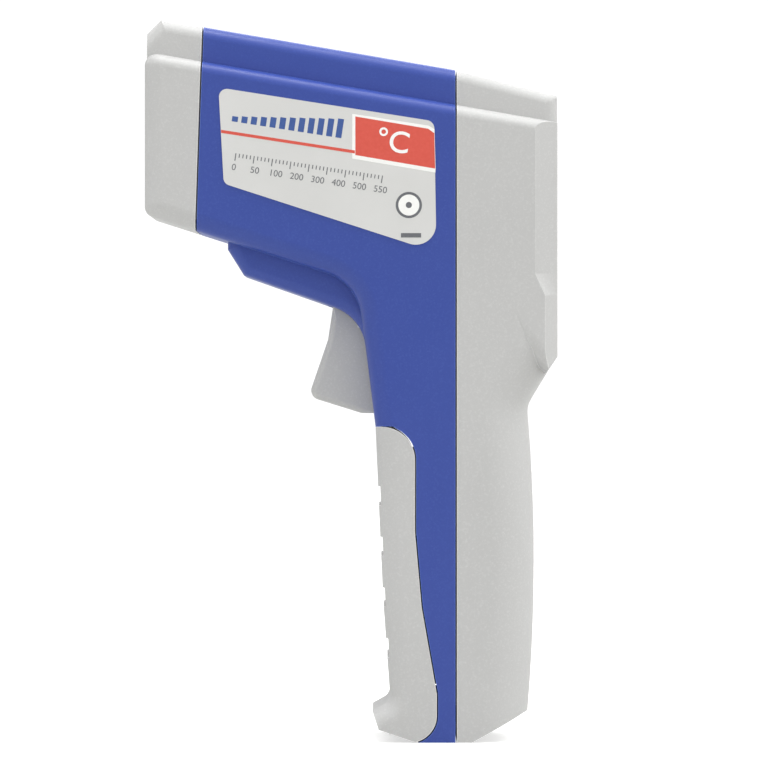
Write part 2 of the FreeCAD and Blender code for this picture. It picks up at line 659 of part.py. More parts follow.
for word, side in SIDES:
    notches.append(side_block("arm_notch_" + word, side, hinge_x + " - size.hinge_drop - 0.5",
                              "size.arm_near - 0.4", "size.arm_far + 0.4", "-1",
                              "size.hinge_drop + size.knuckle_round + 1",
                              "size.hinge_drop + size.knuckle_round + 1.5"))
    lugs.append(side_block("lug_foot_" + word, side, hinge_x + " - size.knuckle_round + 0.6",
                           "size.lug_near",
                           "size.lug_far", "1.4", "size.knuckle_round * 2 + 1.5", "size.hinge_drop - 1.4"))
    lug_y = "%d * (size.lug_near + size.lug_far) / 2 - (size.lug_far - size.lug_near) / 2" % side
    lugs.append(rod("lug_knuckle_" + word, (0, 1, 0), hinge_x, lug_y, hinge_z, "size.knuckle_round",
                    "size.lug_far - size.lug_near"))
    arm_y = "%d * (size.arm_near + size.arm_far) / 2 - (size.arm_far - size.arm_near) / 2" % side
    arms.append(rod("arm_knuckle_" + word, (0, 1, 0), hinge_x, arm_y, hinge_z, "size.knuckle_round",
                    "size.arm_far - size.arm_near"))
    arms.append(side_block("arm_bar_" + word, side, "size.door_low_x - 1.7", "size.arm_near",
                           "size.arm_far",
                           hinge_z + " - size.knuckle_round", "size.hinge_drop + 1.7", arm_tall))
    arms.append(side_block("arm_root_" + word, side, "size.door_low_x - 1.7", "size.arm_far - 1",
                           inner_half + " + 0.4", hinge_z + " - size.knuckle_round", "1.2", arm_tall))
    tabs.append(side_block("tab_" + word, side, "size.door_side_x - 4.2", inner_half + " - 1.9",
                           inner_half + " - 0.2", "size.door_top_z - 14", "8", "9"))
    tabs.append(side_block("tab_root_" + word, side, "size.door_side_x + 1", inner_half + " - 0.6",
                           inner_half + " + 0.4", "size.door_top_z - 14", "2.8", "9"))
door_pin_hole = cross_pin("door_pin_hole", hinge_x, hinge_z, "size.hinge_pin / 2 + size.hinge_run",
                          "2 * size.lug_far + 0.2")
door_open = cut("door_open", door_shell, grooves, *notches)
battery_door = cut("battery_door", fuse("door_with_lugs", door_open, *(lugs + tabs)), door_pin_hole)
door_hinge_pin = cross_pin("door_hinge_pin", hinge_x, hinge_z, "size.hinge_pin / 2", "2 * size.arm_far")
arm_pin_hole = cross_pin("arm_pin_hole", hinge_x, hinge_z, "size.hinge_pin / 2 + 0.02",
                         "2 * size.arm_far + 0.1")

# ---------------------------------------------------------------- front housing
slot = prism("trigger_slot", [
    ("size.slot_rear_x", "size.slot_low_z"), ("size.slot_front_x + 12", "size.slot_low_z"),
    ("size.slot_front_x + 12", "size.grip_top_z - 12"), ("size.slot_front_x", "size.grip_top_z - 7"),
    ("size.slot_front_x", "size.pivot_z + 3.4"), ("size.slot_rear_x", "size.pivot_z + 3.4"),
], "size.trigger_width + 2 * size.trigger_gap")[0]
added = []
drilled = []
for word, side in SIDES:
    near = "size.trigger_width / 2 + size.trigger_gap + 0.2"
    added.append(side_block("cheek_" + word, side, "size.pivot_x - size.cheek_long / 2", near,
                            chin_inner_half + " + 0.4", "size.pivot_z - 3.4", "size.cheek_long", "7.6"))
    drilled.append(side_block("cheek_slot_" + word, side,
                              "size.pivot_x - size.trigger_pin / 2 + 0.15", near + " - 0.2",
                              chin_inner_half + " - 0.1", "size.pivot_z", "size.trigger_pin - 0.3", "5"))
    for level, z in (("high", "size.aperture_z + 8"), ("low", "size.aperture_z - 8")):
        added.append(side_block("bracket_boss_%s_%s" % (level, word), side, "size.bracket_x - 6",
                                inner_half + " - 5.2", inner_half + " + 0.4", z + " - 2.5", "5.95", "5"))
        drilled.append(bore("bracket_boss_hole_%s_%s" % (level, word), "size.bracket_x - 5",
                            "%d * (%s - 2.6)" % (side, inner_half), z, "size.small_screw + 0.02", "6"))
    drilled.append(bore("upper_hole_" + word, "size.seam_x", "%d * size.upper_screw_y" % side,
                        "size.upper_screw_z", "size.screw_round + 0.25", "8"))
    drilled.append(bore("lower_hole_" + word, "size.seam_x", "%d * size.lower_screw_y" % side,
                        "size.lower_screw_z", "size.screw_round + 0.25", "8"))
pin_hole = cross_pin("cheek_pin_hole", "size.pivot_x", "size.pivot_z", "size.trigger_pin / 2 + 0.02",
                     "size.chin_width - 2 * size.wall - 0.2")
upper_wall = block("upper_wall", "size.seam_x + 3", "0", "size.upper_screw_z - 2.9", "2",
                   rail_width + " - 2 * size.wall + 0.8",
                   "size.crest_z - size.wall - size.upper_screw_z + 3.4")
lower_wall = block("lower_wall", "size.seam_x + 3", "0", "size.lower_screw_z - 2.9", "2",
                   "size.body_width - 2 * size.wall + 0.8", "5.8")
shelf = block("switch_shelf", "size.arm_rear_x - 1", "0", "size.shelf_z", "16",
              "size.body_width - 2 * size.wall + 0.8", "1.8")
front_body = fuse("front_body", cut("front_slotted", front_shell, slot), upper_wall, lower_wall, shelf,
                  *(added + arms))
front_housing = cut("front_housing", front_body, pin_hole, arm_pin_hole, *drilled)

# ---------------------------------------------------------------- trigger, its pin, spring and switch
trigger_body, trigger_line, trigger_pad = prism("trigger_body", [
    ("size.grip_front_x - 4", "size.slot_low_z + 0.7"), ("size.grip_front_x + 3.3",
                                                         "size.slot_low_z + 0.8"),
    ("size.pivot_x + 4.9", "size.slot_low_z + 4.6"), ("size.pivot_x + 0.4", "size.pivot_z - 14"),
    ("size.pivot_x - 0.8", "size.pivot_z - 6.1"), ("size.pivot_x + 0.2", "size.pivot_z - 1"),
    ("size.pivot_x - 3", "size.pivot_z - 1"), ("size.grip_top_x", "size.pivot_z - 4"),
    ("size.grip_top_x", "size.pivot_z - 11"), ("size.grip_front_x - 3.4", "size.pivot_z - 14.5"),
], "size.trigger_width")
round_corner(trigger_body, "trigger_tip", trigger_line, 2, "size.trigger_round + 0.7")
half_trigger = SIZES["trigger_width"] / 2
rounded(trigger_body, "trigger_edges",
        edges_through(trigger_body.Tip, both_sides(trigger_line, [1, 2, 3],
                                                   half_trigger)), "size.trigger_round")
lever = block("trigger_lever", "size.arm_rear_x", "0", "size.pivot_z + 1 - size.arm_thick",
              "size.pivot_x - size.arm_rear_x", "size.arm_width", "size.arm_thick")
boss = cross_pin("trigger_boss", "size.pivot_x", "size.pivot_z", "size.trigger_boss",
                 "size.trigger_width")
core = block("trigger_core", "size.grip_front_x - 6", "0", "size.slot_low_z + 4", "6 + 6",
             "size.trigger_width - 4", "13")
trigger_bore = cross_pin("trigger_bore", "size.pivot_x", "size.pivot_z",
                         "size.trigger_pin / 2 + size.trigger_run",
                         "size.trigger_width + 2")
trigger = cut("trigger", fuse("trigger_solid", trigger_body, lever, boss), core, trigger_bore)
trigger_pin = cross_pin("trigger_pin", "size.pivot_x", "size.pivot_z", "size.trigger_pin / 2",
                        "size.chin_width - 2 * size.wall - 0.4")
switch_bottom = "size.shelf_z - size.switch_tall"
switch_box = block("switch_box", "size.switch_x - size.switch_size / 2", "0", switch_bottom,
                   "size.switch_size", "size.switch_wide", "size.switch_tall - size.seat_gap")
lever_top = "(size.pivot_z + 1)"
plunger_hole = rod("switch_bore", (0, 0, 1), "size.switch_x", "0", switch_bottom + " - 1",
                   "size.plunger_round + 0.08", "size.switch_tall - 0.2")
trigger_switch = cut("trigger_switch", switch_box, plunger_hole)
plunger_stem = rod("plunger_stem", (0, 0, 1), "size.switch_x", "0", lever_top + " + 1.2",
                   "size.plunger_round", switch_bottom + " - %s - 0.5" % lever_top)
plunger_tip = rod("plunger_tip", (0, 0, 1), "size.switch_x", "0", lever_top + " + 0.1",
                  "size.tip_round", "2")
trigger_switch_plunger = fuse("trigger_switch_plunger", plunger_stem, plunger_tip)
spring_body = new_body("trigger_spring")
spring_wire = circle(spring_body, "spring_section", "size.spring_round",
                     "size.spring_wire + size.seat_gap",
                     "size.spring_wire")
coil = spring_body.newObject("PartDesign::AdditiveHelix", "spring_coil")
coil.Profile = spring_wire
coil.ReferenceAxis = (spring_wire, ["V_Axis"])
coil.Mode = "pitch-height-angle"
coil.setExpression("Pitch", "size.spring_pitch")
coil.setExpression("Height", "size.shelf_z - size.pivot_z - 1 - 2 * (size.spring_wire + size.seat_gap)")
doc.recompute()
trigger_spring = place(spring_body, "size.spring_x", "0", lever_top)

# ---------------------------------------------------------------- rear housing
window_at = ("0", "size.window_z")
recess = slab("window_recess", "size.window_depth + 1", "size.window_width", "size.window_height", "1.5",
              "-size.rear_reach - 1", *window_at)
view_hole = slab("view_hole", "size.rear_wall + 2", "size.window_width - 2 * size.view_margin",
                 "size.window_height - 2 * size.view_margin", "1", "-size.rear_reach - 1", *window_at)
rear_added = []
rear_drilled = [recess, view_hole]
key_pitch = "(size.key_width + size.key_between)"
key_places = (("left", key_pitch), ("middle", "0"), ("right", "-" + key_pitch))
for word, y in key_places:
    rear_drilled.append(slab("key_hole_" + word, "size.rear_wall + 2",
                             "size.key_width + 2 * size.key_gap",
                             "size.key_height + 2 * size.key_gap", "1.4", "-size.rear_reach - 1", y,
                             "size.key_z"))
post_places = []
for word, side in SIDES:
    y = "%d * size.upper_screw_y" % side
    rear_added.append(bore("upper_boss_" + word, rear_inside + " - 0.3", y, "size.upper_screw_z",
                           "size.boss_round", "size.seam_x + 2.95 - %s + 0.3" % rear_inside))
    rear_drilled.append(bore("upper_boss_hole_" + word, "size.seam_x - 9", y, "size.upper_screw_z",
                             "size.screw_round + 0.02", "13"))
    y = "%d * size.lower_screw_y" % side
    rear_added.append(bore("lower_boss_" + word, "size.neck_x + size.wall + 1.3", y, "size.lower_screw_z",
                           "size.boss_round", "size.seam_x + 1.65 - size.neck_x - size.wall"))
    rear_drilled.append(bore("lower_boss_hole_" + word, "size.seam_x - 9", y, "size.lower_screw_z",
                             "size.screw_round + 0.02", "13"))
    for level, z in (("low", "size.post_low_z"), ("high", "size.post_high_z")):
        y = "%d * size.post_y" % side
        post_places.append((level + "_" + word, y, z))
        rear_added.append(bore("post_%s_%s" % (level, word), rear_inside + " - 0.3", y, z,
                               "size.post_round",
                               "size.board_x - size.seat_gap - %s + 0.3" % rear_inside))
        rear_drilled.append(bore("post_hole_%s_%s" % (level, word), "size.board_x - 5.2", y, z,
                                 "size.small_screw + 0.02", "6"))
divider_x = "size.battery_x - 0.3 - size.divider_thick"
rear_added.append(block("battery_divider", divider_x, "0", "size.wall + 1.1", "size.divider_thick",
                        "size.body_width - 2 * size.wall + 0.8", "size.battery_z + size.battery_long + 3.3"))
rear_added.append(block("battery_shelf", divider_x, "0", "size.battery_z - 1.7", "11",
                        "size.body_width - 2 * size.wall - 5", "1.5"))
rear_housing = cut("rear_housing", fuse("rear_body", rear_shell, rear_lip, *rear_added), *rear_drilled)

# ---------------------------------------------------------------- display, board and keys
display_window = slab("display_window", "size.window_depth - 0.2", "size.window_width - 0.3",
                      "size.window_height - 0.3", "1.35", "-size.rear_reach + 0.1", *window_at)
glass_x = "(%s + 0.2)" % rear_inside
lcd_glass = slab("lcd_glass", "2.6", "size.window_width - 2.4", "size.window_height - 1", "0.5", glass_x,
                 "0", "size.window_z - 0.5")
strip_x = glass_x + " + 2.65"
strip_long = "size.board_x - %s - 2.7" % glass_x
lcd_backlight = slab("lcd_backlight", "2.4", "size.window_width - 4", "size.window_height - 9", "0.5",
                     strip_x, "0", "size.window_z - 1")
zebra_strips = group("zebra_strips", [
    block("zebra_" + word, strip_x, "0", z, strip_long, "size.window_width - 4", "2")
    for word, z in (("low", "size.window_z - size.window_height / 2 + 0.4"),
                    ("high", "size.window_z + size.window_height / 2 - 4.4"))])
board_middle = "(size.board_low_z + size.board_high_z) / 2"
board_blank = slab("board_blank", "size.board_thick", "size.board_width",
                   "size.board_high_z - size.board_low_z",
                   "1", "size.board_x", "0", board_middle)
board_holes = [bore("board_hole_" + word, "size.board_x - 1", y, z, "size.small_screw + 0.15", "4")
               for word, y, z in post_places]
main_board = cut("main_board", board_blank, *board_holes)
board_screws = group("board_screws", [
    screw("board_screw_" + word, board_front, y, z, "size.small_screw", "size.board_thick + 4.4")
    for word, y, z in post_places])
on_board = "(%s + 0.02)" % board_front
board_components = group("board_components", [
    block("controller_chip", on_board, "2", "size.window_z - 12", "1.6", "10", "10"),
    block("driver_chip", on_board, "-9", "size.window_z - 8", "1.5", "5", "4"),
    block("battery_socket", on_board, "0", "size.board_low_z + 2", "3", "8", "5"),
    block("sensor_socket", on_board, "0", "size.board_high_z - 4.6", "2", "10", "3"),
    bore("smoothing_capacitor", on_board, "-11", "size.board_low_z + 13", "2.5", "6"),
])
buzzer = bore("buzzer", on_board, "10.5", "size.board_low_z + 13", "4.5", "4")

base_x = "size.board_x - 3"
key_bases = []
for word, y in key_places:
    key_box = block("key_base_box_" + word, base_x, y, "size.key_z - 3", "3 - size.seat_gap", "6", "6")
    key_bases.append(cut("key_base_" + word, key_box,
                         bore("key_base_bore_" + word, base_x + " - 1", y, "size.key_z",
                              "size.plunger_round + 0.08", "3")))
key_switches = group("key_switches", key_bases)


def key(word, y):
    """A moulded key: cap, retaining flange and the stem that reaches its switch."""
    cap = slab("key_cap_" + word, "size.rear_wall - 0.2", "size.key_width", "size.key_height", "1.2",
               "-size.rear_reach + 0.1", y, "size.key_z")
    flange = block("key_flange_" + word, rear_inside + " + 0.05", y,
                   "size.key_z - size.key_height / 2 - 0.8",
                   "1", "size.key_width + 1.6", "size.key_height + 1.6")
    stem = bore("key_stem_" + word, rear_inside + " - 0.5", y, "size.key_z", "1.6",
                "%s - 1.05 - %s + 0.5" % (base_x, rear_inside))
    return fuse("key_" + word, cap, flange, stem)


def key_plunger(word, y):
    return bore("key_%s_plunger" % word, base_x + " - 1", y, "size.key_z", "size.plunger_round",
                "3 - 0.2 - size.key_travel")


keys = [key(word, y) for word, y in key_places]
key_plungers = [key_plunger(word, y) for word, y in key_places]

# ---------------------------------------------------------------- measuring head
at_axis = ("0", "0", "size.aperture_z")
lens_cone = place(turned("lens_cone", [
    (nose_inside + " - 0.2", "size.aperture_round - 0.5"), (nose_inside + " - 0.2",
                                                            "size.aperture_round + 1.6"),
    (nose_inside + " - 1.4", "size.aperture_round + 1.6"), (nose_inside + " - 1.4",
                                                            "size.aperture_round + 0.7"),
    (tube_front + " + 2.6", "size.tube_round"), (tube_front + " + 0.05", "size.tube_round"),
    (tube_front + " + 0.05", "size.lens_round - 0.5"),
]), *at_axis)
lens_body = new_body("infrared_lens")
lens_line = outline(lens_body, "lens_outline", [
    (tube_front + " - size.lens_thick", "0"), (tube_front + " - 0.1", "0"),
    (tube_front + " - 0.85", "size.lens_round"), (tube_front + " - size.lens_thick", "size.lens_round"),
], "XZ_Plane", {1: ["lens_dome"]})
lens_turn = lens_body.newObject("PartDesign::Revolution", "lens_turn")
lens_turn.Profile = lens_line
lens_turn.ReferenceAxis = (lens_line, ["H_Axis"])
lens_turn.Angle = 360
doc.recompute()
infrared_lens = place(lens_body, *at_axis)
seat_x = tube_front + " - size.lens_thick - size.seat_gap"
optics_tube = place(turned("optics_tube", [
    ("size.sensor_x", "size.can_round + 0.3"), ("size.sensor_x + 6.8", "size.can_round + 0.3"),
    ("size.sensor_x + 6.8", "size.tube_bore"), (seat_x, "size.tube_bore"),
    (seat_x, "size.lens_round + size.seat_gap"), (tube_front, "size.lens_round + size.seat_gap"),
    (tube_front, "size.tube_round"), ("size.sensor_x", "size.tube_round"),
]), *at_axis)
sensor_can = place(turned("sensor_can", [
    ("size.sensor_x + 1.2", "0"), ("size.sensor_x + 5.1", "0"), ("size.sensor_x + 5.1", "2"),
    ("size.sensor_x + 5.4", "2"), ("size.sensor_x + 5.4", "size.can_round"),
    ("size.sensor_x + 1.8", "size.can_round"), ("size.sensor_x + 1.8", "size.can_round + 0.2"),
    ("size.sensor_x + 1.2", "size.can_round + 0.2"),
]), *at_axis)
sensor_pins = [bore("sensor_pin_%d" % number, "size.sensor_x - 0.08", y, "size.aperture_z + (%s)" % z,
                    "0.25", "1.6")
               for number, (y, z) in enumerate((("1.8", "1.8"), ("-1.8", "1.8"), ("1.8", "-1.8"),
                                                ("-1.8", "-1.8")))]
thermopile_sensor = fuse("thermopile_sensor", sensor_can, *sensor_pins)
sensor_board = bore("sensor_board", "size.sensor_x - 1.3", "0", "size.aperture_z",
                    "size.tube_round - 0.5", "1.2")


def laser(label, side):
    """Aiming module: a brass barrel with a small exit hole."""
    y = "%d * size.laser_offset" % side
    barrel = bore(label + "_barrel", "size.laser_rear_x", y, "size.aperture_z", "size.laser_round",
                  "size.laser_long")
    exit_hole = bore(label + "_exit", "size.laser_rear_x + size.laser_long - 1.5", y,
                     "size.aperture_z", "1.3", "3")
    return cut(label, barrel, exit_hole)


def laser_window(label, side):
    return bore(label, nose_inside + " - 0.85", "%d * size.laser_offset" % side, "size.aperture_z",
                "size.laser_hole + 0.6", "0.8")


def laser_lead(label, side):
    return bore(label, on_board, "%d * (size.laser_offset - 1.6)" % side, "size.board_high_z - 0.9",
                "size.wire_round", "size.laser_rear_x - 0.07 - " + board_front)


laser_modules = pair("laser_modules", laser)
laser_windows = pair("laser_windows", laser_window)
laser_leads = pair("laser_leads", laser_lead)
bracket_blank = slab("bracket_blank", "size.bracket_thick", "size.body_width - 2 * size.wall - 1.4",
                     "22", "1.5",
                     "size.bracket_x", "0", "size.aperture_z")
bracket_holes = [bore("bracket_bore", "size.bracket_x - 1", "0", "size.aperture_z",
                      "size.tube_round + size.seat_gap", "size.bracket_thick + 2")]
bracket_screw_items = []
for word, side in SIDES:
    bracket_holes.append(bore("bracket_laser_bore_" + word, "size.bracket_x - 1",
                              "%d * size.laser_offset" % side,
                              "size.aperture_z", "size.laser_round + size.seat_gap", "size.bracket_thick + 2"))
    for level, z in (("high", "size.aperture_z + 8"), ("low", "size.aperture_z - 8")):
        y = "%d * (%s - 2.6)" % (side, inner_half)
        bracket_holes.append(bore("bracket_hole_%s_%s" % (level, word), "size.bracket_x - 1", y, z,
                                  "size.small_screw + 0.15", "size.bracket_thick + 2"))
        bracket_screw_items.append(screw("bracket_screw_%s_%s" % (level, word),
                                         "size.bracket_x + size.bracket_thick + 0.02", y, z,
                                         "size.small_screw", "size.bracket_thick + 4.5"))
optics_bracket = cut("optics_bracket", bracket_blank, *bracket_holes)
bracket_screws = group("bracket_screws", bracket_screw_items)

# ---------------------------------------------------------------- battery and wiring
battery_case = slab("battery_case", "size.battery_long", "size.battery_thick", "size.battery_wide", "2",
                    "size.battery_x + size.battery_thick / 2", "0", "size.battery_z", "XY_Plane")
battery_top = "(size.battery_z + size.battery_long)"
battery_middle_x = "(size.battery_x + size.battery_thick / 2)"
terminals = []
terminal_holes = []
for word, side in SIDES:
    y = "%d * size.terminal_y" % side
    terminals.append(rod("terminal_" + word, (0, 0, 1), battery_middle_x, y, battery_top + " - 0.5",
                         "size.terminal_round", "size.terminal_tall + 0.5"))
    terminal_holes.append(rod("terminal_hole_" + word, (0, 0, 1), battery_middle_x, y, battery_top,
                              "size.terminal_round + 0.1", "size.terminal_tall + 0.4"))
battery = fuse("battery", battery_case, *terminals)
snap_case = slab("snap_case", "size.snap_tall", "size.battery_thick - 2.5",
                 "2 * size.terminal_y + 10", "4",
                 battery_middle_x, "0", battery_top + " + 0.2", "XY_Plane")
battery_snap = cut("battery_snap", snap_case, *terminal_holes)
snap_top = "(%s + 0.2 + size.snap_tall)" % battery_top
lead_x = "(size.battery_x + 3.5)"
lead_z = "(size.board_low_z + 4.5)"


def battery_lead(label, y):
    """One insulated wire: straight up from the snap, one bend, then back to its socket."""
    body = new_body(label)
    path = body.newObject("Sketcher::SketchObject", label + "_path")
    path.AttachmentSupport = (origin_plane(body, "XZ_Plane"), [""])
    path.MapMode = "FlatFace"
    points = [(lead_x, snap_top + " + 0.02"), (lead_x, lead_z), ("%s + 3.1" % on_board, lead_z)]
    path.addGeometry(Part.LineSegment(FreeCAD.Vector(0, 0, 0), FreeCAD.Vector(0, 30, 0)), False)
    path.addGeometry(Part.LineSegment(FreeCAD.Vector(0, 30, 0), FreeCAD.Vector(-10, 30, 0)), False)
    path.addConstraint(Sketcher.Constraint("Coincident", 0, 2, 1, 1))
    ends = [(0, 1), (1, 1), (1, 2)]
    for (line, end), (across, up) in zip(ends, points):
        for kind, expression in (("DistanceX", across), ("DistanceY", up)):
            number = path.addConstraint(Sketcher.Constraint(kind, line, end, 1.0))
            path.setExpression("Constraints[%d]" % number, expression)
    path.setExpression("AttachmentOffset.Base.z", "-(%s) * 1mm" % y)
    doc.recompute()
    path.fillet(0, 2, SIZES["lead_bend"], True, True)
    section = circle(body, label + "_section", lead_x, y, "size.lead_round", "XY_Plane")
    section.setExpression("AttachmentOffset.Base.z", "(%s + 0.02) * 1mm" % snap_top)
    pipe = body.newObject("PartDesign::AdditivePipe", label + "_pipe")
    pipe.Profile = section
    pipe.Spine = path
    doc.recompute()
    return body


battery_lead_red = battery_lead("battery_lead_red", "2")
battery_lead_black = battery_lead("battery_lead_black", "-2")


def switch_lead(label, side):
    return bore(label, on_board, "%d * (size.switch_wide / 2 - 1)" % side, "size.shelf_z - 1.6",
                "size.wire_round",
                "size.switch_x - size.switch_size / 2 - 0.07 - " + board_front)


switch_leads = pair("switch_leads", switch_lead)
sensor_cable = block("sensor_cable", on_board + " + 2.05", "0", "size.board_high_z - 3.4",
                     "size.sensor_x - 1.35 - 2.07 - " + board_front, "8", "0.7")
housing_screw_items = []
for word, side in SIDES:
    housing_screw_items.append(screw("upper_screw_" + word, "size.seam_x + 5.02",
                                     "%d * size.upper_screw_y" % side,
                                     "size.upper_screw_z", "size.screw_round", "13"))
    housing_screw_items.append(screw("lower_screw_" + word, "size.seam_x + 5.02",
                                     "%d * size.lower_screw_y" % side,
                                     "size.lower_screw_z", "size.screw_round", "13"))
housing_screws = group("housing_screws", housing_screw_items)

# ---------------------------------------------------------------- side labels
def label_line(base_z, x, angle):
    return along(base_z, x, angle, "size.seam_x + 5")


def side_label(word, side):
    """A thin printed plate stuck on the flat side of the barrel."""
    body, line, pad = prism(word + "_label", [
        ("size.nose_seam_x - 6.4", label_line("size.chin_lip_z - 0.7", "size.nose_seam_x - 6.4",
                                              "size.underside_slope + 0.3")),
        ("size.nose_seam_x - 5.2", label_line("size.step_z - 3.8", "size.nose_seam_x - 5.2",
                                              "size.label_slope")),
        ("size.seam_x + 5", "size.step_z - 3.8"),
        ("size.seam_x + 4.5", "size.chin_lip_z - 0.8"),
    ], "size.label_thick")
    for index, radius in ((0, "1.8"), (1, "1.8"), (2, "2"), (3, "4.6")):
        round_corner(body, "%s_corner_%d" % (word, index), line, index, radius)
    return place(body, "0", "%d * (size.body_width + size.label_thick) / 2" % side, "0")


left_label = side_label("left", LEFT)
right_label = side_label("right", RIGHT)

# ---------------------------------------------------------------- check and write every piece
nodes = [front_housing, rear_housing, nose_cap, battery_door, door_hinge_pin, trigger, trigger_pin,
         trigger_spring, trigger_switch, trigger_switch_plunger, left_label, right_label, lens_cone,
         infrared_lens, optics_tube, thermopile_sensor, sensor_board, sensor_cable, laser_modules,
         laser_windows, laser_leads, optics_bracket, bracket_screws, display_window, lcd_glass,
         lcd_backlight, zebra_strips, main_board, board_screws, board_components, buzzer, key_switches,
         battery, battery_snap, battery_lead_red, battery_lead_black, switch_leads, housing_screws]
nodes += keys + key_plungers
doc.recompute()
for item in doc.Objects:
    if "Invalid" in item.State or "Error" in item.State:
        raise RuntimeError("%s did not build" % item.Label)
os.makedirs("parts", exist_ok=True)
for item in nodes:
    if item.Shape.isNull() or not item.Shape.isValid():
        raise RuntimeError("%s has no sound shape" % item.Label)
    item.Shape.exportStep("parts/%s.step" % item.Label)
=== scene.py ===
"""A pistol-grip infrared thermometer: a blue moulded body between a grey nose
cap, a grey back and a grey battery door, with a printed label on each side.

The script follows the instrument as it is put together: the room it stands in,
the two case halves, the caps, the trigger, the measuring head, the display and
keys, the board and battery, and last the labels.
"""
import math

import bmesh
import bpy
from mathutils import Matrix, Vector


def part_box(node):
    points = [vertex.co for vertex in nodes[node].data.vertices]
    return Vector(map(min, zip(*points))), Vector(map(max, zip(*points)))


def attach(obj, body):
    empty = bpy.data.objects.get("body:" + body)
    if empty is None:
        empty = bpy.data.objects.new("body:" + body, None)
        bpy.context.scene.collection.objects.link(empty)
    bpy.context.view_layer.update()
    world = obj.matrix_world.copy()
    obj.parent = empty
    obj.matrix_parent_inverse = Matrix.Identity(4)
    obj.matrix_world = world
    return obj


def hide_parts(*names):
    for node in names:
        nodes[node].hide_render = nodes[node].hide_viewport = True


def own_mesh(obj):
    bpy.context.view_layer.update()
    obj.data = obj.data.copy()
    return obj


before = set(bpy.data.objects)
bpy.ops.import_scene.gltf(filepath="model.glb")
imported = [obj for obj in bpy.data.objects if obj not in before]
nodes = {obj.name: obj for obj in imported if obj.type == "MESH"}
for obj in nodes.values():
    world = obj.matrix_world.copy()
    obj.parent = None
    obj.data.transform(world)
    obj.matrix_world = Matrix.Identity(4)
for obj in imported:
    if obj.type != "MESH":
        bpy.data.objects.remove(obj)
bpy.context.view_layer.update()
MM = 0.001

# ---------------------------------------------------------------- the room
# A pale floor and an even white surround, as in a light tent. Two large soft
# lamps, one high behind the instrument's back and one before its nose, shape
# the roundings. The camera looks level at the left side from far away.
CAMERA_X, CAMERA_DISTANCE, CAMERA_Z = -7.54 * MM, 1.2, 81.8 * MM
CAMERA_LENS, CAMERA_SENSOR = 242.5, 36.0
FLOOR_HALF = 4.0
FLOOR_DROP = 0.05 * MM
SKY_TOP, SKY_LEVEL = 1.25, 0.62          # the surround's light overhead and at eye level
FLOOR_GLOW = 0.62                        # keeps the floor white to the eye


def linear(colour, alpha=1.0):
    """The linear colour that a shader takes, from an sRGB hex value."""
    parts = [int(colour[i:i + 2], 16) / 255 for i in (1, 3, 5)]
    parts = [c / 12.92 if c <= 0.04045 else ((c + 0.055) / 1.055) ** 2.4 for c in parts]
    return (*parts, alpha)


def add(tree, kind, inputs=None, **settings):
    """Add one node: settings are its properties, inputs are values or sockets."""
    node = tree.nodes.new(kind)
    for key, value in settings.items():
        setattr(node, key, value)
    for key, value in (inputs or {}).items():
        if isinstance(value, bpy.types.NodeSocket):
            tree.links.new(value, node.inputs[key])
        else:
            node.inputs[key].default_value = value
    return node


def new_material(name):
    """An empty material with its tree, ready for nodes."""
    finish = bpy.data.materials.new(name)
    finish.use_nodes = True
    finish.node_tree.nodes.clear()
    return finish, finish.node_tree


def shade(tree, **inputs):
    """End a material's tree in one shader and its output; inputs as the sockets are
    called, with _ for a space."""
    values = {key.replace("_", " "): value for key, value in inputs.items()}
    shader = add(tree, "ShaderNodeBsdfPrincipled", values)
    add(tree, "ShaderNodeOutputMaterial", {"Surface": shader.outputs["BSDF"]})
    return shader


def give(finish, *names):
    """Put one finish on carried-over pieces."""
    for name in names:
        mesh_object = nodes[name]
        if not mesh_object.material_slots:
            mesh_object.data.materials.append(None)
        for slot in mesh_object.material_slots:
            slot.material = finish


world = bpy.data.worlds.new("light_tent")
bpy.context.scene.world = world
world.use_nodes = True
world.node_tree.nodes.clear()
direction = add(world.node_tree, "ShaderNodeTexCoord").outputs["Generated"]
height = add(world.node_tree, "ShaderNodeSeparateXYZ", {"Vector": direction}).outputs["Z"]
sky = add(world.node_tree, "ShaderNodeMapRange", {
    "Value": height, "From Min": 0.0, "From Max": 0.9, "To Min": SKY_LEVEL, "To Max": SKY_TOP})
path = add(world.node_tree, "ShaderNodeLightPath")
strength = add(world.node_tree, "ShaderNodeMapRange", {
    "Value": path.outputs["Is Camera Ray"], "To Min": sky.outputs["Result"], "To Max": 1.1})
surround = add(world.node_tree, "ShaderNodeBackground", {
    "Color": linear("#FFFFFF"), "Strength": strength.outputs["Result"]})
add(world.node_tree, "ShaderNodeOutputWorld", {"Surface": surround.outputs["Background"]})

# name, place, size, power
LAMPS = (
    ("lamp_back", (-0.85, 0.12, 1.1), 0.6, 8.0),
    ("lamp_top", (0.1, 0.14, 1.25), 0.4, 6.0),
    ("lamp_nose", (0.95, 0.9, 0.45), 0.6, 1.0),
    ("lamp_far", (-0.2, -1.0, 0.7), 0.8, 4.0),
)
MIDDLE = Vector((0, 0, CAMERA_Z))
for name, place, size, power in LAMPS:
    lamp = bpy.data.lights.new(name, "AREA")
    lamp.shape, lamp.size, lamp.energy = "DISK", size, power
    holder = bpy.data.objects.new(name, lamp)
    holder.location = place
    holder.rotation_euler = (MIDDLE - Vector(place)).to_track_quat("-Z", "Y").to_euler()
    bpy.context.scene.collection.objects.link(holder)

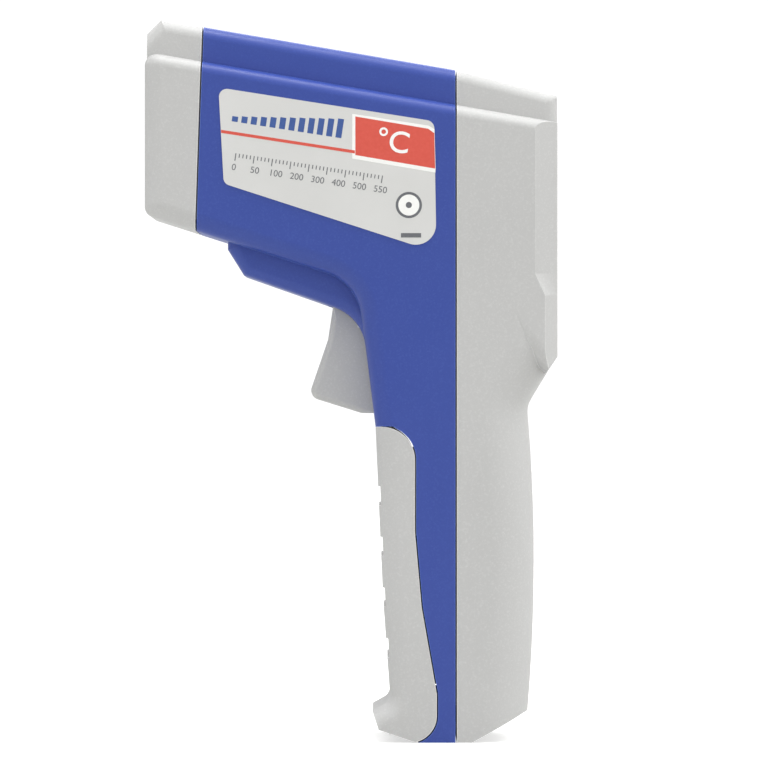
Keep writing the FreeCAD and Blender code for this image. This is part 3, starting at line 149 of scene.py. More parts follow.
camera = bpy.data.cameras.new("camera")
camera.lens, camera.sensor_width = CAMERA_LENS, CAMERA_SENSOR
camera.clip_end = 20
camera_holder = bpy.data.objects.new("camera", camera)
camera_holder.location = (CAMERA_X, CAMERA_DISTANCE, CAMERA_Z)
camera_holder.rotation_euler = (math.pi / 2, 0, math.pi)
bpy.context.scene.collection.objects.link(camera_holder)
bpy.context.scene.camera = camera_holder
bpy.context.scene.view_settings.view_transform = "Standard"

# Painted board, matt and pale: it looks white, but throws little light back up, so
# that the undersides stay darker than the tops.
floor_paint, tree = new_material("painted_board")
place = add(tree, "ShaderNodeTexCoord")
cloud = add(tree, "ShaderNodeTexNoise", {
    "Vector": place.outputs["Object"], "Scale": 6.0, "Detail": 2.0})
tone = add(tree, "ShaderNodeMix", {
    "Factor": cloud.outputs["Fac"], "A": linear("#C6C6C4"), "B": linear("#CCCCCA")},
    data_type="RGBA")
seen = add(tree, "ShaderNodeLightPath").outputs["Is Camera Ray"]
glow = add(tree, "ShaderNodeMapRange", {"Value": seen, "To Max": FLOOR_GLOW})
shade(tree, Base_Color=tone.outputs["Result"], Roughness=0.95, Specular_IOR_Level=0.2,
      Emission_Color=linear("#FFFFFF"), Emission_Strength=glow.outputs["Result"])
floor_mesh = bpy.data.meshes.new("floor")
floor_mesh.from_pydata(
    [(x, y, -FLOOR_DROP) for x, y in (
        (-FLOOR_HALF, -FLOOR_HALF), (FLOOR_HALF, -FLOOR_HALF),
        (FLOOR_HALF, FLOOR_HALF), (-FLOOR_HALF, FLOOR_HALF))],
    [], [(0, 1, 2, 3)])
floor_mesh.materials.append(floor_paint)
floor = bpy.data.objects.new("floor", floor_mesh)
bpy.context.scene.collection.objects.link(floor)

# ------------------------------------------------- the case and its cappings
# Injection-moulded ABS in two colours. The tool was spark-eroded, so the skin is
# a fine matt grain, a little polished where it is held. The blue half is held to
# the grey back by four screws from inside; the nose cap snaps over the front.
SPARK_GRAIN = 0.45 * MM     # the real grain is 0.1 mm, drawn coarser so that it shows
SPARK_DEPTH = 0.012 * MM
HANDLED_PATCH = 14 * MM     # patches that hands have polished
FLOW_BAND = 45 * MM         # slow drift of tone from the flow of the plastic
EDGE_HIGHLIGHT_REACH = 0.4 * MM         # how far in from an edge the painted highlight reaches


def moulded(name, colour, roughness, pale, dark, grain=SPARK_GRAIN, depth=SPARK_DEPTH, edge=None):
    """Moulded plastic: the grain as bump, speckle painted paler on its peaks (painted highlight),
    polished patches, and where edge gives a colour, a painted highlight of it along the edges."""
    finish, tree = new_material(name)
    coords = add(tree, "ShaderNodeTexCoord").outputs["Object"]
    spark = add(tree, "ShaderNodeTexNoise", {
        "Vector": coords, "Scale": 1 / grain, "Detail": 3.0, "Roughness": 0.6})
    drift = add(tree, "ShaderNodeTexNoise", {
        "Vector": coords, "Scale": 1 / FLOW_BAND, "Detail": 2.0, "Roughness": 0.5})
    patches = add(tree, "ShaderNodeTexNoise", {
        "Vector": coords, "Scale": 1 / HANDLED_PATCH, "Detail": 4.0, "Roughness": 0.55})
    slow = add(tree, "ShaderNodeMix", {
        "Factor": drift.outputs["Fac"], "A": linear(dark), "B": linear(colour)}, data_type="RGBA")
    # the grain's high points painted paler: a painted highlight on the grain peaks, from the same noise
    # as the bump
    peaks = add(tree, "ShaderNodeMapRange", {
        "Value": spark.outputs["Fac"], "From Min": 0.5, "From Max": 0.8, "To Max": 0.55})
    tone = add(tree, "ShaderNodeMix", {
        "Factor": peaks.outputs["Result"], "A": slow.outputs["Result"], "B": linear(pale)},
        data_type="RGBA")
    gloss = add(tree, "ShaderNodeMapRange", {
        "Value": patches.outputs["Fac"], "From Min": 0.35, "From Max": 0.65,
        "To Min": roughness - 0.06, "To Max": roughness + 0.05})
    bump = add(tree, "ShaderNodeBump", {
        "Height": spark.outputs["Fac"], "Strength": 0.6, "Distance": depth})
    # where edge gives a colour: a painted highlight along the edges, in place of light on their
    # roundings
    if edge:
        soft = add(tree, "ShaderNodeBevel", {"Radius": EDGE_HIGHLIGHT_REACH}, samples=6)
        hard = add(tree, "ShaderNodeNewGeometry")
        match = add(tree, "ShaderNodeVectorMath", {
            0: soft.outputs["Normal"], 1: hard.outputs["Normal"]}, operation="DOT_PRODUCT")
        painted_edge_highlight = add(tree, "ShaderNodeMapRange", {
            "Value": match.outputs["Value"], "From Min": 0.98, "From Max": 0.8, "To Max": 0.8})
        tone = add(tree, "ShaderNodeMix", {
            "Factor": painted_edge_highlight.outputs["Result"], "A": tone.outputs["Result"], "B": linear(edge)},
            data_type="RGBA")
    shade(tree, Base_Color=tone.outputs["Result"], Roughness=gloss.outputs["Result"],
          IOR=1.53, Normal=bump.outputs["Normal"])
    return finish


# Blue ABS: deep and matt, its grain peaks painted a paler blue as a painted highlight, its edges a
# painted highlight of light blue.
blue_abs = moulded("blue_moulded_abs", "#2B4499", 0.44, "#3B55A8", "#294195", edge="#5F7CC8")
# Grey ABS: a light warm grey with a barely visible speckle painted paler on the grain peaks, its edges
# a painted highlight of near white.
grey_abs = moulded("grey_moulded_abs", "#BEBEBD", 0.5, "#CFCFCE", "#B6B6B5", edge="#F0F0EF")
give(blue_abs, "front_housing")
give(grey_abs, "rear_housing", "nose_cap", "battery_door", "trigger")

# ------------------------------------------------- pins, spring and screws
# Ground steel pins that the door and trigger turn on, the trigger's coil spring
# of drawn wire, and zinc-plated self-tapping screws. All are pushed or driven in.
TURNING_MARK = 0.12 * MM


def metal(name, colour, dull, roughness, along, mark=TURNING_MARK):
    """Bare or plated metal: fine marks across the direction it was worked in."""
    finish, tree = new_material(name)
    coords = add(tree, "ShaderNodeTexCoord").outputs["Object"]
    stretch = [0.12 if axis == along else 1.0 for axis in "XYZ"]
    lay = add(tree, "ShaderNodeMapping", {"Vector": coords, "Scale": stretch})
    marks = add(tree, "ShaderNodeTexNoise", {
        "Vector": lay.outputs["Vector"], "Scale": 1 / mark, "Detail": 2.0})
    film = add(tree, "ShaderNodeTexNoise", {"Vector": coords, "Scale": 1 / (3 * MM), "Detail": 3.0})
    tone = add(tree, "ShaderNodeMix", {
        "Factor": film.outputs["Fac"], "A": linear(dull), "B": linear(colour)}, data_type="RGBA")
    gloss = add(tree, "ShaderNodeMapRange", {
        "Value": marks.outputs["Fac"], "To Min": roughness - 0.08, "To Max": roughness + 0.12})
    bump = add(tree, "ShaderNodeBump", {
        "Height": marks.outputs["Fac"], "Strength": 0.3, "Distance": 0.01 * MM})
    shade(tree, Base_Color=tone.outputs["Result"], Metallic=1.0,
          Roughness=gloss.outputs["Result"], Normal=bump.outputs["Normal"])
    return finish


# Ground steel: bright, with fine rings round the pin.
ground_steel = metal("ground_steel", "#C9CCCE", "#A9ADB0", 0.28, "X")
# Drawn spring wire: greyer, with marks along the wire.
spring_wire = metal("drawn_spring_wire", "#B4B8BB", "#8F9396", 0.34, "Z")
# Zinc plate with a clear passivate: a soft grey-blue shine.
zinc_plate = metal("zinc_plated_steel", "#B9BDC2", "#989CA3", 0.38, "X")
# The sensor's can: drawn nickel-plated steel, brighter than the screws.
nickel_can = metal("nickel_plated_can", "#D2CFC8", "#B5B2AB", 0.25, "X")
give(ground_steel, "door_hinge_pin", "trigger_pin")
wound = bmesh.new()
wound.from_mesh(nodes["trigger_spring"].data)
bmesh.ops.remove_doubles(wound, verts=wound.verts, dist=0.001 * MM)
coil_mesh = bpy.data.meshes.new("trigger_coil")
wound.to_mesh(coil_mesh)
wound.free()
coil_mesh.materials.clear()
coil_mesh.materials.append(spring_wire)
coil = bpy.data.objects.new("trigger_coil", coil_mesh)
bpy.context.scene.collection.objects.link(coil)
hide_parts("trigger_spring")
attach(coil, "case")
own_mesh(coil)
give(zinc_plate, "board_screws", "bracket_screws", "housing_screws")
give(nickel_can, "thermopile_sensor")

# ------------------------------------------------- the measuring head
# A black cone leads heat to a milky plastic lens in a black tube, with the sensor
# behind it. Two brass aiming barrels stand beside it behind small red windows. A
# black bracket screwed to the case carries all three.
BLACK_GRAIN = 0.3 * MM
LENS_RING = 0.35 * MM       # pitch of the lens's moulded rings, coarse enough to show

# Black ABS: matt, so that no stray light comes back to the lens.
black_abs = moulded("black_moulded_abs", "#17181A", 0.6, "#2A2C2E", "#131416", BLACK_GRAIN)
# Black epoxy and thermoplastic of small bought-in parts: slightly glossier.
black_epoxy = moulded("black_component_plastic", "#1E1F22", 0.42, "#34363A", "#191A1C", 0.2 * MM)
give(black_abs, "lens_cone", "optics_tube", "optics_bracket")
give(black_epoxy, "trigger_switch", "board_components", "buzzer", "key_switches",
     "key_left_plunger", "key_middle_plunger", "key_right_plunger", "battery_snap")

# Milky polyethylene lens: soft and waxy, with the fine rings of a stepped lens.
milky_lens, tree = new_material("milky_polyethylene")
coords = add(tree, "ShaderNodeTexCoord").outputs["Object"]
LENS_LOW, LENS_HIGH = (Vector(corner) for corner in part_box("infrared_lens"))
LENS_CENTRE = (LENS_LOW + LENS_HIGH) / 2
centred = add(tree, "ShaderNodeMapping", {"Vector": coords, "Location": -LENS_CENTRE})
parts = add(tree, "ShaderNodeSeparateXYZ", {"Vector": centred.outputs["Vector"]})
flat = add(tree, "ShaderNodeCombineXYZ", {"Y": parts.outputs["Y"], "Z": parts.outputs["Z"]})
radius = add(tree, "ShaderNodeVectorMath", {0: flat.outputs["Vector"]}, operation="LENGTH")
turns = add(tree, "ShaderNodeMath", {
    0: radius.outputs["Value"], 1: 1 / LENS_RING}, operation="MULTIPLY")
ramp = add(tree, "ShaderNodeMath", {0: turns.outputs["Value"]}, operation="FRACT")
bump = add(tree, "ShaderNodeBump", {
    "Height": ramp.outputs["Value"], "Strength": 0.5, "Distance": 0.04 * MM})
tone = add(tree, "ShaderNodeMix", {
    "Factor": ramp.outputs["Value"], "A": linear("#C9CEC9"), "B": linear("#DDE1DC")}, data_type="RGBA")
shade(tree, Base_Color=tone.outputs["Result"], Roughness=0.32, IOR=1.51,
      Subsurface_Weight=0.25, Subsurface_Radius=(0.004, 0.004, 0.004), Subsurface_Scale=0.3,
      Normal=bump.outputs["Normal"])
give(milky_lens, "infrared_lens")

# Turned brass: warm, with rings round the barrel.
turned_brass = metal("turned_brass", "#C8A860", "#A4823F", 0.3, "X", 0.2 * MM)
give(turned_brass, "laser_modules")

# Red filter plastic: glossy and nearly clear, dark because the tube behind is dark.
red_filter, tree = new_material("clear_red_acrylic")
coords = add(tree, "ShaderNodeTexCoord").outputs["Object"]
swirl = add(tree, "ShaderNodeTexNoise", {"Vector": coords, "Scale": 1 / (2 * MM), "Detail": 2.0})
tone = add(tree, "ShaderNodeMix", {
    "Factor": swirl.outputs["Fac"], "A": linear("#5C0F14"), "B": linear("#8A1A1E")}, data_type="RGBA")
shade(tree, Base_Color=tone.outputs["Result"], Roughness=0.08, IOR=1.49, Coat_Weight=0.6,
      Coat_Roughness=0.05)
give(red_filter, "laser_windows")

# ------------------------------------------------- the display and its window
# A segment display on a glass panel, lit from behind by a white light guide and
# joined to the board by striped rubber strips. A clear acrylic window with a
# printed black border is glued over it. The segments are thin plates on the glass.
BORDER_Y, BORDER_LOW, BORDER_HIGH = 12.2 * MM, 115.8 * MM, 138.2 * MM
BORDER_SOFT = 0.05 * MM
GLASS_X = 44.0              # millimetres behind the middle, as the glass's rear face
SEGMENT_THICK = 0.06
DIGIT_WIDTH, DIGIT_HEIGHT, DIGIT_SLANT = 4.4, 8.6, 0.09
BAR = 0.95                  # a segment's width
BAR_GAP = 0.12


def rectangle(a_low, a_high, b_low, b_high):
    """A rectangle's corners, anticlockwise."""
    return [(a_low, b_low), (a_high, b_low), (a_high, b_high), (a_low, b_high)]


def disc(a, b, radius, corners=40):
    """A circle's outline about (a, b)."""
    steps = [2 * math.pi * i / corners for i in range(corners)]
    return [(a + radius * math.cos(s), b + radius * math.sin(s)) for s in steps]


def plates(name, outlines, to_place, low, high, finish):
    """Thin plates, one for each outline in millimetres, between two heights.
    to_place turns (a, b, height) into a place in metres."""
    shape = bmesh.new()
    for outline in outlines:
        under = [shape.verts.new(to_place(a, b, low)) for a, b in outline]
        over = [shape.verts.new(to_place(a, b, high)) for a, b in outline]
        shape.faces.new(under)
        shape.faces.new(over)
        for i in range(len(outline)):
            j = (i + 1) % len(outline)
            shape.faces.new((under[i], under[j], over[j], over[i]))
    bmesh.ops.recalc_face_normals(shape, faces=shape.faces)
    mesh = bpy.data.meshes.new(name)
    shape.to_mesh(mesh)
    shape.free()
    mesh.materials.append(finish)
    piece = bpy.data.objects.new(name, mesh)
    bpy.context.scene.collection.objects.link(piece)
    return piece


def behind(a, b, height):
    """A place on the instrument's back: a to the left seen from in front, b up."""
    return (-height * MM, a * MM, b * MM)


# Clear acrylic over a printed border: a hard gloss that shows the display within.
window, tree = new_material("clear_acrylic_window")
coords = add(tree, "ShaderNodeTexCoord").outputs["Object"]
parts = add(tree, "ShaderNodeSeparateXYZ", {"Vector": coords})
side = add(tree, "ShaderNodeMath", {0: parts.outputs["Y"]}, operation="ABSOLUTE")
edges = []
for value, edge, sign in ((side.outputs["Value"], BORDER_Y, 1), (parts.outputs["Z"], BORDER_HIGH, 1),
                          (parts.outputs["Z"], BORDER_LOW, -1)):
    edges.append(add(tree, "ShaderNodeMapRange", {
        "Value": value, "From Min": edge - sign * BORDER_SOFT, "From Max": edge + sign * BORDER_SOFT,
        "To Min": 0.0, "To Max": 1.0}).outputs["Result"])
wide = add(tree, "ShaderNodeMath", {0: edges[0], 1: edges[1]}, operation="MAXIMUM")
printed = add(tree, "ShaderNodeMath", {0: wide.outputs["Value"], 1: edges[2]}, operation="MAXIMUM")
haze = add(tree, "ShaderNodeTexNoise", {"Vector": coords, "Scale": 1 / (9 * MM), "Detail": 5.0})
gloss = add(tree, "ShaderNodeMapRange", {
    "Value": haze.outputs["Fac"], "From Min": 0.4, "From Max": 0.7, "To Min": 0.04, "To Max": 0.1})
cover = add(tree, "ShaderNodeMapRange", {
    "Value": printed.outputs["Value"], "To Min": 0.12, "To Max": 1.0})
shade(tree, Base_Color=linear("#101214"), Roughness=gloss.outputs["Result"], IOR=1.49,
      Alpha=cover.outputs["Result"])
give(window, "display_window")

# Display glass over its polariser: a pale grey-green, even, with a faint grid.
glass, tree = new_material("polarised_display_glass")
coords = add(tree, "ShaderNodeTexCoord").outputs["Object"]
grid = add(tree, "ShaderNodeTexNoise", {"Vector": coords, "Scale": 1 / (12 * MM), "Detail": 1.0})
tone = add(tree, "ShaderNodeMix", {
    "Factor": grid.outputs["Fac"], "A": linear("#9FB0A0"), "B": linear("#B4C3B2")}, data_type="RGBA")
shade(tree, Base_Color=tone.outputs["Result"], Roughness=0.16, IOR=1.52)
give(glass, "lcd_glass")

# Light guide: milk-white acrylic with moulded dots that grow away from the lamp.
guide, tree = new_material("milk_white_light_guide")
coords = add(tree, "ShaderNodeTexCoord").outputs["Object"]
dots = add(tree, "ShaderNodeTexVoronoi", {"Vector": coords, "Scale": 1 / (0.9 * MM), "Randomness": 0.0})
bump = add(tree, "ShaderNodeBump", {
    "Height": dots.outputs["Distance"], "Strength": 0.4, "Distance": 0.03 * MM})
tone = add(tree, "ShaderNodeMix", {
    "Factor": dots.outputs["Distance"], "A": linear("#F7F8F4"), "B": linear("#E4E7E1")},
    data_type="RGBA")
shade(tree, Base_Color=tone.outputs["Result"], Roughness=0.4, IOR=1.49, Normal=bump.outputs["Normal"])
give(guide, "lcd_backlight")

# Striped rubber: black conducting slices between pale ones, 0.18 mm apart in the
# real strip and drawn at 0.5 mm.
striped, tree = new_material("striped_contact_rubber")
coords = add(tree, "ShaderNodeTexCoord").outputs["Object"]
stripes = add(tree, "ShaderNodeTexWave", {
    "Vector": coords, "Scale": 1 / (0.5 * MM) / 3.2, "Distortion": 0.0}, bands_direction="Y")
tone = add(tree, "ShaderNodeMix", {
    "Factor": stripes.outputs["Fac"], "A": linear("#1E1F20"), "B": linear("#7C7E80")}, data_type="RGBA")
shade(tree, Base_Color=tone.outputs["Result"], Roughness=0.7)
give(striped, "zebra_strips")

# Switched-on segments: a soft blue-black, flat and dull under the polariser.
segment_ink, tree = new_material("dark_display_segment")
coords = add(tree, "ShaderNodeTexCoord").outputs["Object"]
fade = add(tree, "ShaderNodeTexNoise", {"Vector": coords, "Scale": 1 / (5 * MM), "Detail": 1.0})
tone = add(tree, "ShaderNodeMix", {
    "Factor": fade.outputs["Fac"], "A": linear("#1A2224"), "B": linear("#2A3336")}, data_type="RGBA")
shade(tree, Base_Color=tone.outputs["Result"], Roughness=0.35)

# The seven bars of a digit as (centre a, centre b, lies flat), in half digits
SEVEN = {
    "top": (0, 1, True), "middle": (0, 0, True), "bottom": (0, -1, True),
    "upper_left": (-1, 0.5, False), "upper_right": (1, 0.5, False),
    "lower_left": (-1, -0.5, False), "lower_right": (1, -0.5, False)}
LIT = {
    "2": ("top", "upper_right", "middle", "lower_left", "bottom"),
    "4": ("upper_left", "upper_right", "middle", "lower_right"),
    "6": ("top", "upper_left", "middle", "lower_left", "lower_right", "bottom"),
    "C": ("top", "upper_left", "lower_left", "bottom")}


def digit(figure, centre_a, centre_b, size=1.0):
    """A figure's lit bars as outlines; a grows to the reader's left."""
    half_wide, half_high = DIGIT_WIDTH / 2 * size, DIGIT_HEIGHT / 2 * size
    half_bar = BAR / 2 * size
    outlines = []
    for bar in LIT[figure]:
        column, row, flat = SEVEN[bar]
        a, b = column * half_wide, row * half_high
        reach = (half_wide if flat else half_high / 2) - BAR_GAP
        ends = [(-reach, 0), (-reach + half_bar, -half_bar), (reach - half_bar, -half_bar),
                (reach, 0), (reach - half_bar, half_bar), (-reach + half_bar, half_bar)]
        if not flat:
            ends = [(-t, s) for s, t in ends]
        outlines.append([
            (centre_a - (a + s + DIGIT_SLANT * (b + t)), centre_b + b + t) for s, t in ends])
    return outlines


# The reading and its point, the unit, and along the top a battery and a level sign;
# a row of bars runs under the reading.
READING_Z, UNIT_Z, SIGN_Z, ROW_Z = 126.2, 128.6, 135.2, 118.2
LEVELS, LEVEL_PITCH = 5, 0.7
ROW_BARS, ROW_PITCH = 20, 1.1
marks = []
for figure, a in (("2", 8.6), ("4", 2.4), ("6", -4.2)):
    marks += digit(figure, a, READING_Z)
marks.append(disc(-1.1, READING_Z - DIGIT_HEIGHT / 2, 0.55, 16))
marks += digit("C", -10.0, UNIT_Z, 0.48)
marks.append(disc(-8.0, UNIT_Z + 2.8, 0.5, 16))
marks.append(rectangle(8.2, 11.0, SIGN_Z, SIGN_Z + 1.7))
marks.append(rectangle(7.8, 8.2, SIGN_Z + 0.5, SIGN_Z + 1.2))
for i in range(LEVELS):
    a = -11.2 + i * LEVEL_PITCH
    marks.append(rectangle(a, a + 0.4, SIGN_Z, SIGN_Z + 0.4 + i * 0.3))
for i in range(ROW_BARS):
    a = 11.0 - i * ROW_PITCH
    marks.append(rectangle(a, a + 0.6, ROW_Z, ROW_Z + 0.8 + 0.05 * i))
segments = plates("display_segments", marks, behind, GLASS_X - 0.02, GLASS_X + SEGMENT_THICK,
                  segment_ink)
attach(segments, "case")

# ------------------------------------------------- the three keys
# Grey moulded caps that slide in the back housing and press small switches. Each
# has a plain sign pad-printed on its face: up, lamp and down.
KEY_FACE = 47.1
KEY_INK_THICK = 0.03
ARROW_HALF, ARROW_FOOT, ARROW_TIP = 1.5, 0.9, 1.3
RAYS, RAY_IN, RAY_OUT, RAY_HALF = 8, 1.3, 2.0, 0.14
KEY_LOW, KEY_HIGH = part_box("key_left")
KEY_OUT, KEY_MIDDLE_Z = ((KEY_LOW[i] + KEY_HIGH[i]) / 2 / MM for i in (1, 2))

key_abs = moulded("grey_key_abs", "#AEB0B0", 0.44, "#C2C4C4", "#A6A8A8", 0.3 * MM)
give(key_abs, "key_left", "key_middle", "key_right", "trigger_switch_plunger")

# Pad-printing ink: dark grey, thin and slightly uneven where it went on.
pad_ink, tree = new_material("dark_grey_pad_ink")
coords = add(tree, "ShaderNodeTexCoord").outputs["Object"]
thin = add(tree, "ShaderNodeTexNoise", {"Vector": coords, "Scale": 1 / (0.6 * MM), "Detail": 3.0})
tone = add(tree, "ShaderNodeMix", {
    "Factor": thin.outputs["Fac"], "A": linear("#2B2D31"), "B": linear("#44474C")}, data_type="RGBA")
shade(tree, Base_Color=tone.outputs["Result"], Roughness=0.5)

lamp_rays = []
for i in range(RAYS):
    turn = 2 * math.pi * i / RAYS
    along, across = (math.cos(turn), math.sin(turn)), (-math.sin(turn), math.cos(turn))
    lamp_rays.append([
        (along[0] * r + across[0] * w, KEY_MIDDLE_Z + along[1] * r + across[1] * w)
        for r, w in ((RAY_IN, -RAY_HALF), (RAY_OUT, -RAY_HALF),
                     (RAY_OUT, RAY_HALF), (RAY_IN, RAY_HALF))])


def arrow(a, up):
    """A triangle about a key's middle that points up, or down where up is -1."""
    foot = KEY_MIDDLE_Z - up * ARROW_FOOT
    return [(a - ARROW_HALF, foot), (a + ARROW_HALF, foot), (a, KEY_MIDDLE_Z + up * ARROW_TIP)]


SIGNS = (
    ("key_left_sign", "left_key", [arrow(KEY_OUT, 1)]),
    ("key_middle_sign", "middle_key", [disc(0, KEY_MIDDLE_Z, 0.85, 28)] + lamp_rays),
    ("key_right_sign", "right_key", [arrow(-KEY_OUT, -1)]),
)
for name, body, outlines in SIGNS:
    sign = plates(name, outlines, behind, KEY_FACE - 0.01, KEY_FACE + KEY_INK_THICK, pad_ink)
    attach(sign, body)

# ------------------------------------------------- boards, wiring and battery
# Glass-fibre boards under green lacquer, screwed to the case; twisted and soldered
# leads in PVC; and a nine-volt block in a printed sleeve, clipped to its snap.
TRACK = 1.3 * MM            # pitch of the copper tracks that show through the lacquer

board, tree = new_material("green_lacquered_board")
coords = add(tree, "ShaderNodeTexCoord").outputs["Object"]
cells = add(tree, "ShaderNodeTexBrick", {
    "Vector": add(tree, "ShaderNodeMapping", {
        "Vector": coords, "Rotation": (0, math.pi / 2, 0)}).outputs["Vector"],
    "Scale": 1 / TRACK / 4, "Mortar Size": 0.06, "Mortar Smooth": 0.1,
    "Color1": linear("#1D5B36"), "Color2": linear("#226640"), "Mortar": linear("#2F7A4C")})
weave = add(tree, "ShaderNodeTexNoise", {"Vector": coords, "Scale": 1 / (0.5 * MM), "Detail": 2.0})
bump = add(tree, "ShaderNodeBump", {
    "Height": weave.outputs["Fac"], "Strength": 0.2, "Distance": 0.02 * MM})
shade(tree, Base_Color=cells.outputs["Color"], Roughness=0.3, IOR=1.55, Normal=bump.outputs["Normal"])
give(board, "main_board", "sensor_board")

# PVC insulation: smooth, with a slight waxiness.
red_pvc = moulded("red_pvc", "#B3262A", 0.34, "#C43A3C", "#A82024", 0.8 * MM, 0.004 * MM)
black_pvc = moulded("black_pvc", "#1A1A1C", 0.36, "#2A2A2D", "#161618", 0.8 * MM, 0.004 * MM)
white_pvc = moulded("white_pvc", "#D8D8D4", 0.38, "#E2E2DE", "#CFCFCB", 0.8 * MM, 0.004 * MM)
give(red_pvc, "battery_lead_red")
give(black_pvc, "battery_lead_black", "laser_leads")
give(white_pvc, "switch_leads", "sensor_cable")

# Printed battery sleeve: lacquered steel in a plain grey-green with a pale band.
BAND_LOW, BAND_HIGH = 47 * MM, 58 * MM
sleeve, tree = new_material("lacquered_battery_sleeve")
coords = add(tree, "ShaderNodeTexCoord").outputs["Object"]
parts = add(tree, "ShaderNodeSeparateXYZ", {"Vector": coords})
over = add(tree, "ShaderNodeMath", {0: parts.outputs["Z"], 1: BAND_LOW}, operation="GREATER_THAN")
under = add(tree, "ShaderNodeMath", {0: parts.outputs["Z"], 1: BAND_HIGH}, operation="LESS_THAN")
band = add(tree, "ShaderNodeMath", {
    0: over.outputs["Value"], 1: under.outputs["Value"]}, operation="MULTIPLY")
tone = add(tree, "ShaderNodeMix", {
    "Factor": band.outputs["Value"], "A": linear("#56645E"), "B": linear("#C9CDC8")}, data_type="RGBA")
scuffs = add(tree, "ShaderNodeTexNoise", {"Vector": coords, "Scale": 1 / (2.5 * MM), "Detail": 5.0})
gloss = add(tree, "ShaderNodeMapRange", {
    "Value": scuffs.outputs["Fac"], "From Min": 0.4, "From Max": 0.7, "To Min": 0.24, "To Max": 0.42})
shade(tree, Base_Color=tone.outputs["Result"], Roughness=gloss.outputs["Result"], Metallic=0.35)
give(sleeve, "battery")

# ------------------------------------------------- the printed side labels
# A satin polyester film with rounded corners on each side, screen-printed in red,
# blue and grey: a red panel and rule, a row of bars, and a scale of degrees.
LABEL_FACE = 20.7
INK_THICK = 0.02
SLOPE = math.atan2(7.7, 49.2)            # the print follows the barrel's rising top
RISE = (-math.sin(SLOPE), math.cos(SLOPE))

film, tree = new_material("satin_polyester_film")
coords = add(tree, "ShaderNodeTexCoord").outputs["Object"]
peel = add(tree, "ShaderNodeTexNoise", {"Vector": coords, "Scale": 1 / (1.2 * MM), "Detail": 2.0})
cloud = add(tree, "ShaderNodeTexNoise", {"Vector": coords, "Scale": 1 / (20 * MM), "Detail": 2.0})
tone = add(tree, "ShaderNodeMix", {
    "Factor": cloud.outputs["Fac"], "A": linear("#CBCBC9"), "B": linear("#D6D6D4")}, data_type="RGBA")
bump = add(tree, "ShaderNodeBump", {
    "Height": peel.outputs["Fac"], "Strength": 0.15, "Distance": 0.01 * MM})
shade(tree, Base_Color=tone.outputs["Result"], Roughness=0.36, IOR=1.57, Normal=bump.outputs["Normal"])
give(film, "left_label", "right_label")


def ink(name, colour, worn):
    """Screen-printing ink: nearly even, with the faint mottle of the mesh."""
    finish, tree = new_material(name)
    coords = add(tree, "ShaderNodeTexCoord").outputs["Object"]
    mottle = add(tree, "ShaderNodeTexNoise", {"Vector": coords, "Scale": 1 / (0.7 * MM), "Detail": 3.0})
    tone = add(tree, "ShaderNodeMix", {
        "Factor": mottle.outputs["Fac"], "A": linear(colour), "B": linear(worn)}, data_type="RGBA")
    shade(tree, Base_Color=tone.outputs["Result"], Roughness=0.4)
    return finish


red_ink = ink("red_screen_ink", "#CE4A3C", "#D95B4C")
blue_ink = ink("blue_screen_ink", "#33508F", "#3E5C9C")
grey_ink = ink("grey_screen_ink", "#5C5E62", "#6E7074")
white_ink = ink("white_screen_ink", "#EDEDEA", "#F6F6F3")

RED_PANEL = [(-1.0, 142.8), (-17.6, 140.0), (-19.0, 139.0), (-19.2, 130.9), (-1.0, 134.0)]
PALE_EDGE = [(-0.3, 143.4), (-17.7, 140.7), (-19.05, 139.9), (-19.3, 130.9), (-19.25, 130.0),
             (-0.3, 133.2)]
RED_RULE = [(29.6, 139.75), (29.6, 139.05), (-0.9, 134.35), (-0.9, 135.05)]
BARS = 12                    # the row of blue bars, rising towards the red panel
BAR_PITCH, BAR_WIDE = 2.15, 1.35
BAR_START, BAR_BASE = (27.2, 141.7), 0.155
BAR_LOW, BAR_GROWTH, BAR_LEAN = 1.2, 3.4, 0.15
SCALE_START, SCALE_END = (26.2, 134.4), (-7.2, 129.3)
TICKS, TICK_WIDE, TICK_HIGH, LONG_EVERY, LONG_RATIO = 41, 0.22, 0.9, 5, 1.9
FIGURES = ("0", "50", "100", "200", "300", "400", "500", "550")
FIGURE_SIZE, FIGURE_AHEAD, FIGURE_DROP = 2.1, 0.5, 3.2
UNIT_SIZE, UNIT_PLACE = 7.0, (-9.6, 136.9)
SPOT_PLACE, SPOT_OUT, SPOT_IN, SPOT_DOT = (-13.2, 122.6), 3.0, 2.4, 0.7
SPOT_RULE = (-16.0, -11.4, 115.2, 116.2)
LABEL_FOOT = LABEL_FACE - 0.01           # the prints start just inside the film


def on_side(side):
    """A place on a side label: a forward, b up, height outwards from the middle."""
    return lambda a, b, height: (a * MM, side * height * MM, b * MM)


def lettering(name, body, size, centre, side, finish, bold=False, height=LABEL_FACE):
    """Figures in the plain built-in face, made a closed mesh on a side label."""
    text = bpy.data.curves.new(name, "FONT")
    text.body, text.size, text.align_x, text.align_y = body, size * MM, "CENTER", "CENTER"
    text.extrude = INK_THICK * MM
    text.offset = 0.05 * MM if bold else 0.0
    text.resolution_u = 6
    holder = bpy.data.objects.new(name, text)
    bpy.context.scene.collection.objects.link(holder)
    bpy.context.view_layer.update()
    mesh = bpy.data.meshes.new_from_object(holder.evaluated_get(bpy.context.evaluated_depsgraph_get()))
    bpy.data.objects.remove(holder)
    right = Vector((-side * math.cos(SLOPE), 0, -side * math.sin(SLOPE)))
    up = Vector((RISE[0], 0, RISE[1]))
    face = right.cross(up)
    turn = Matrix((right, up, face)).transposed().to_4x4()
    mesh.transform(Matrix.Translation((centre[0] * MM, side * height * MM, centre[1] * MM)) @ turn)
    mesh.materials.clear()
    mesh.materials.append(finish)
    piece = bpy.data.objects.new(name, mesh)
    bpy.context.scene.collection.objects.link(piece)
    return piece


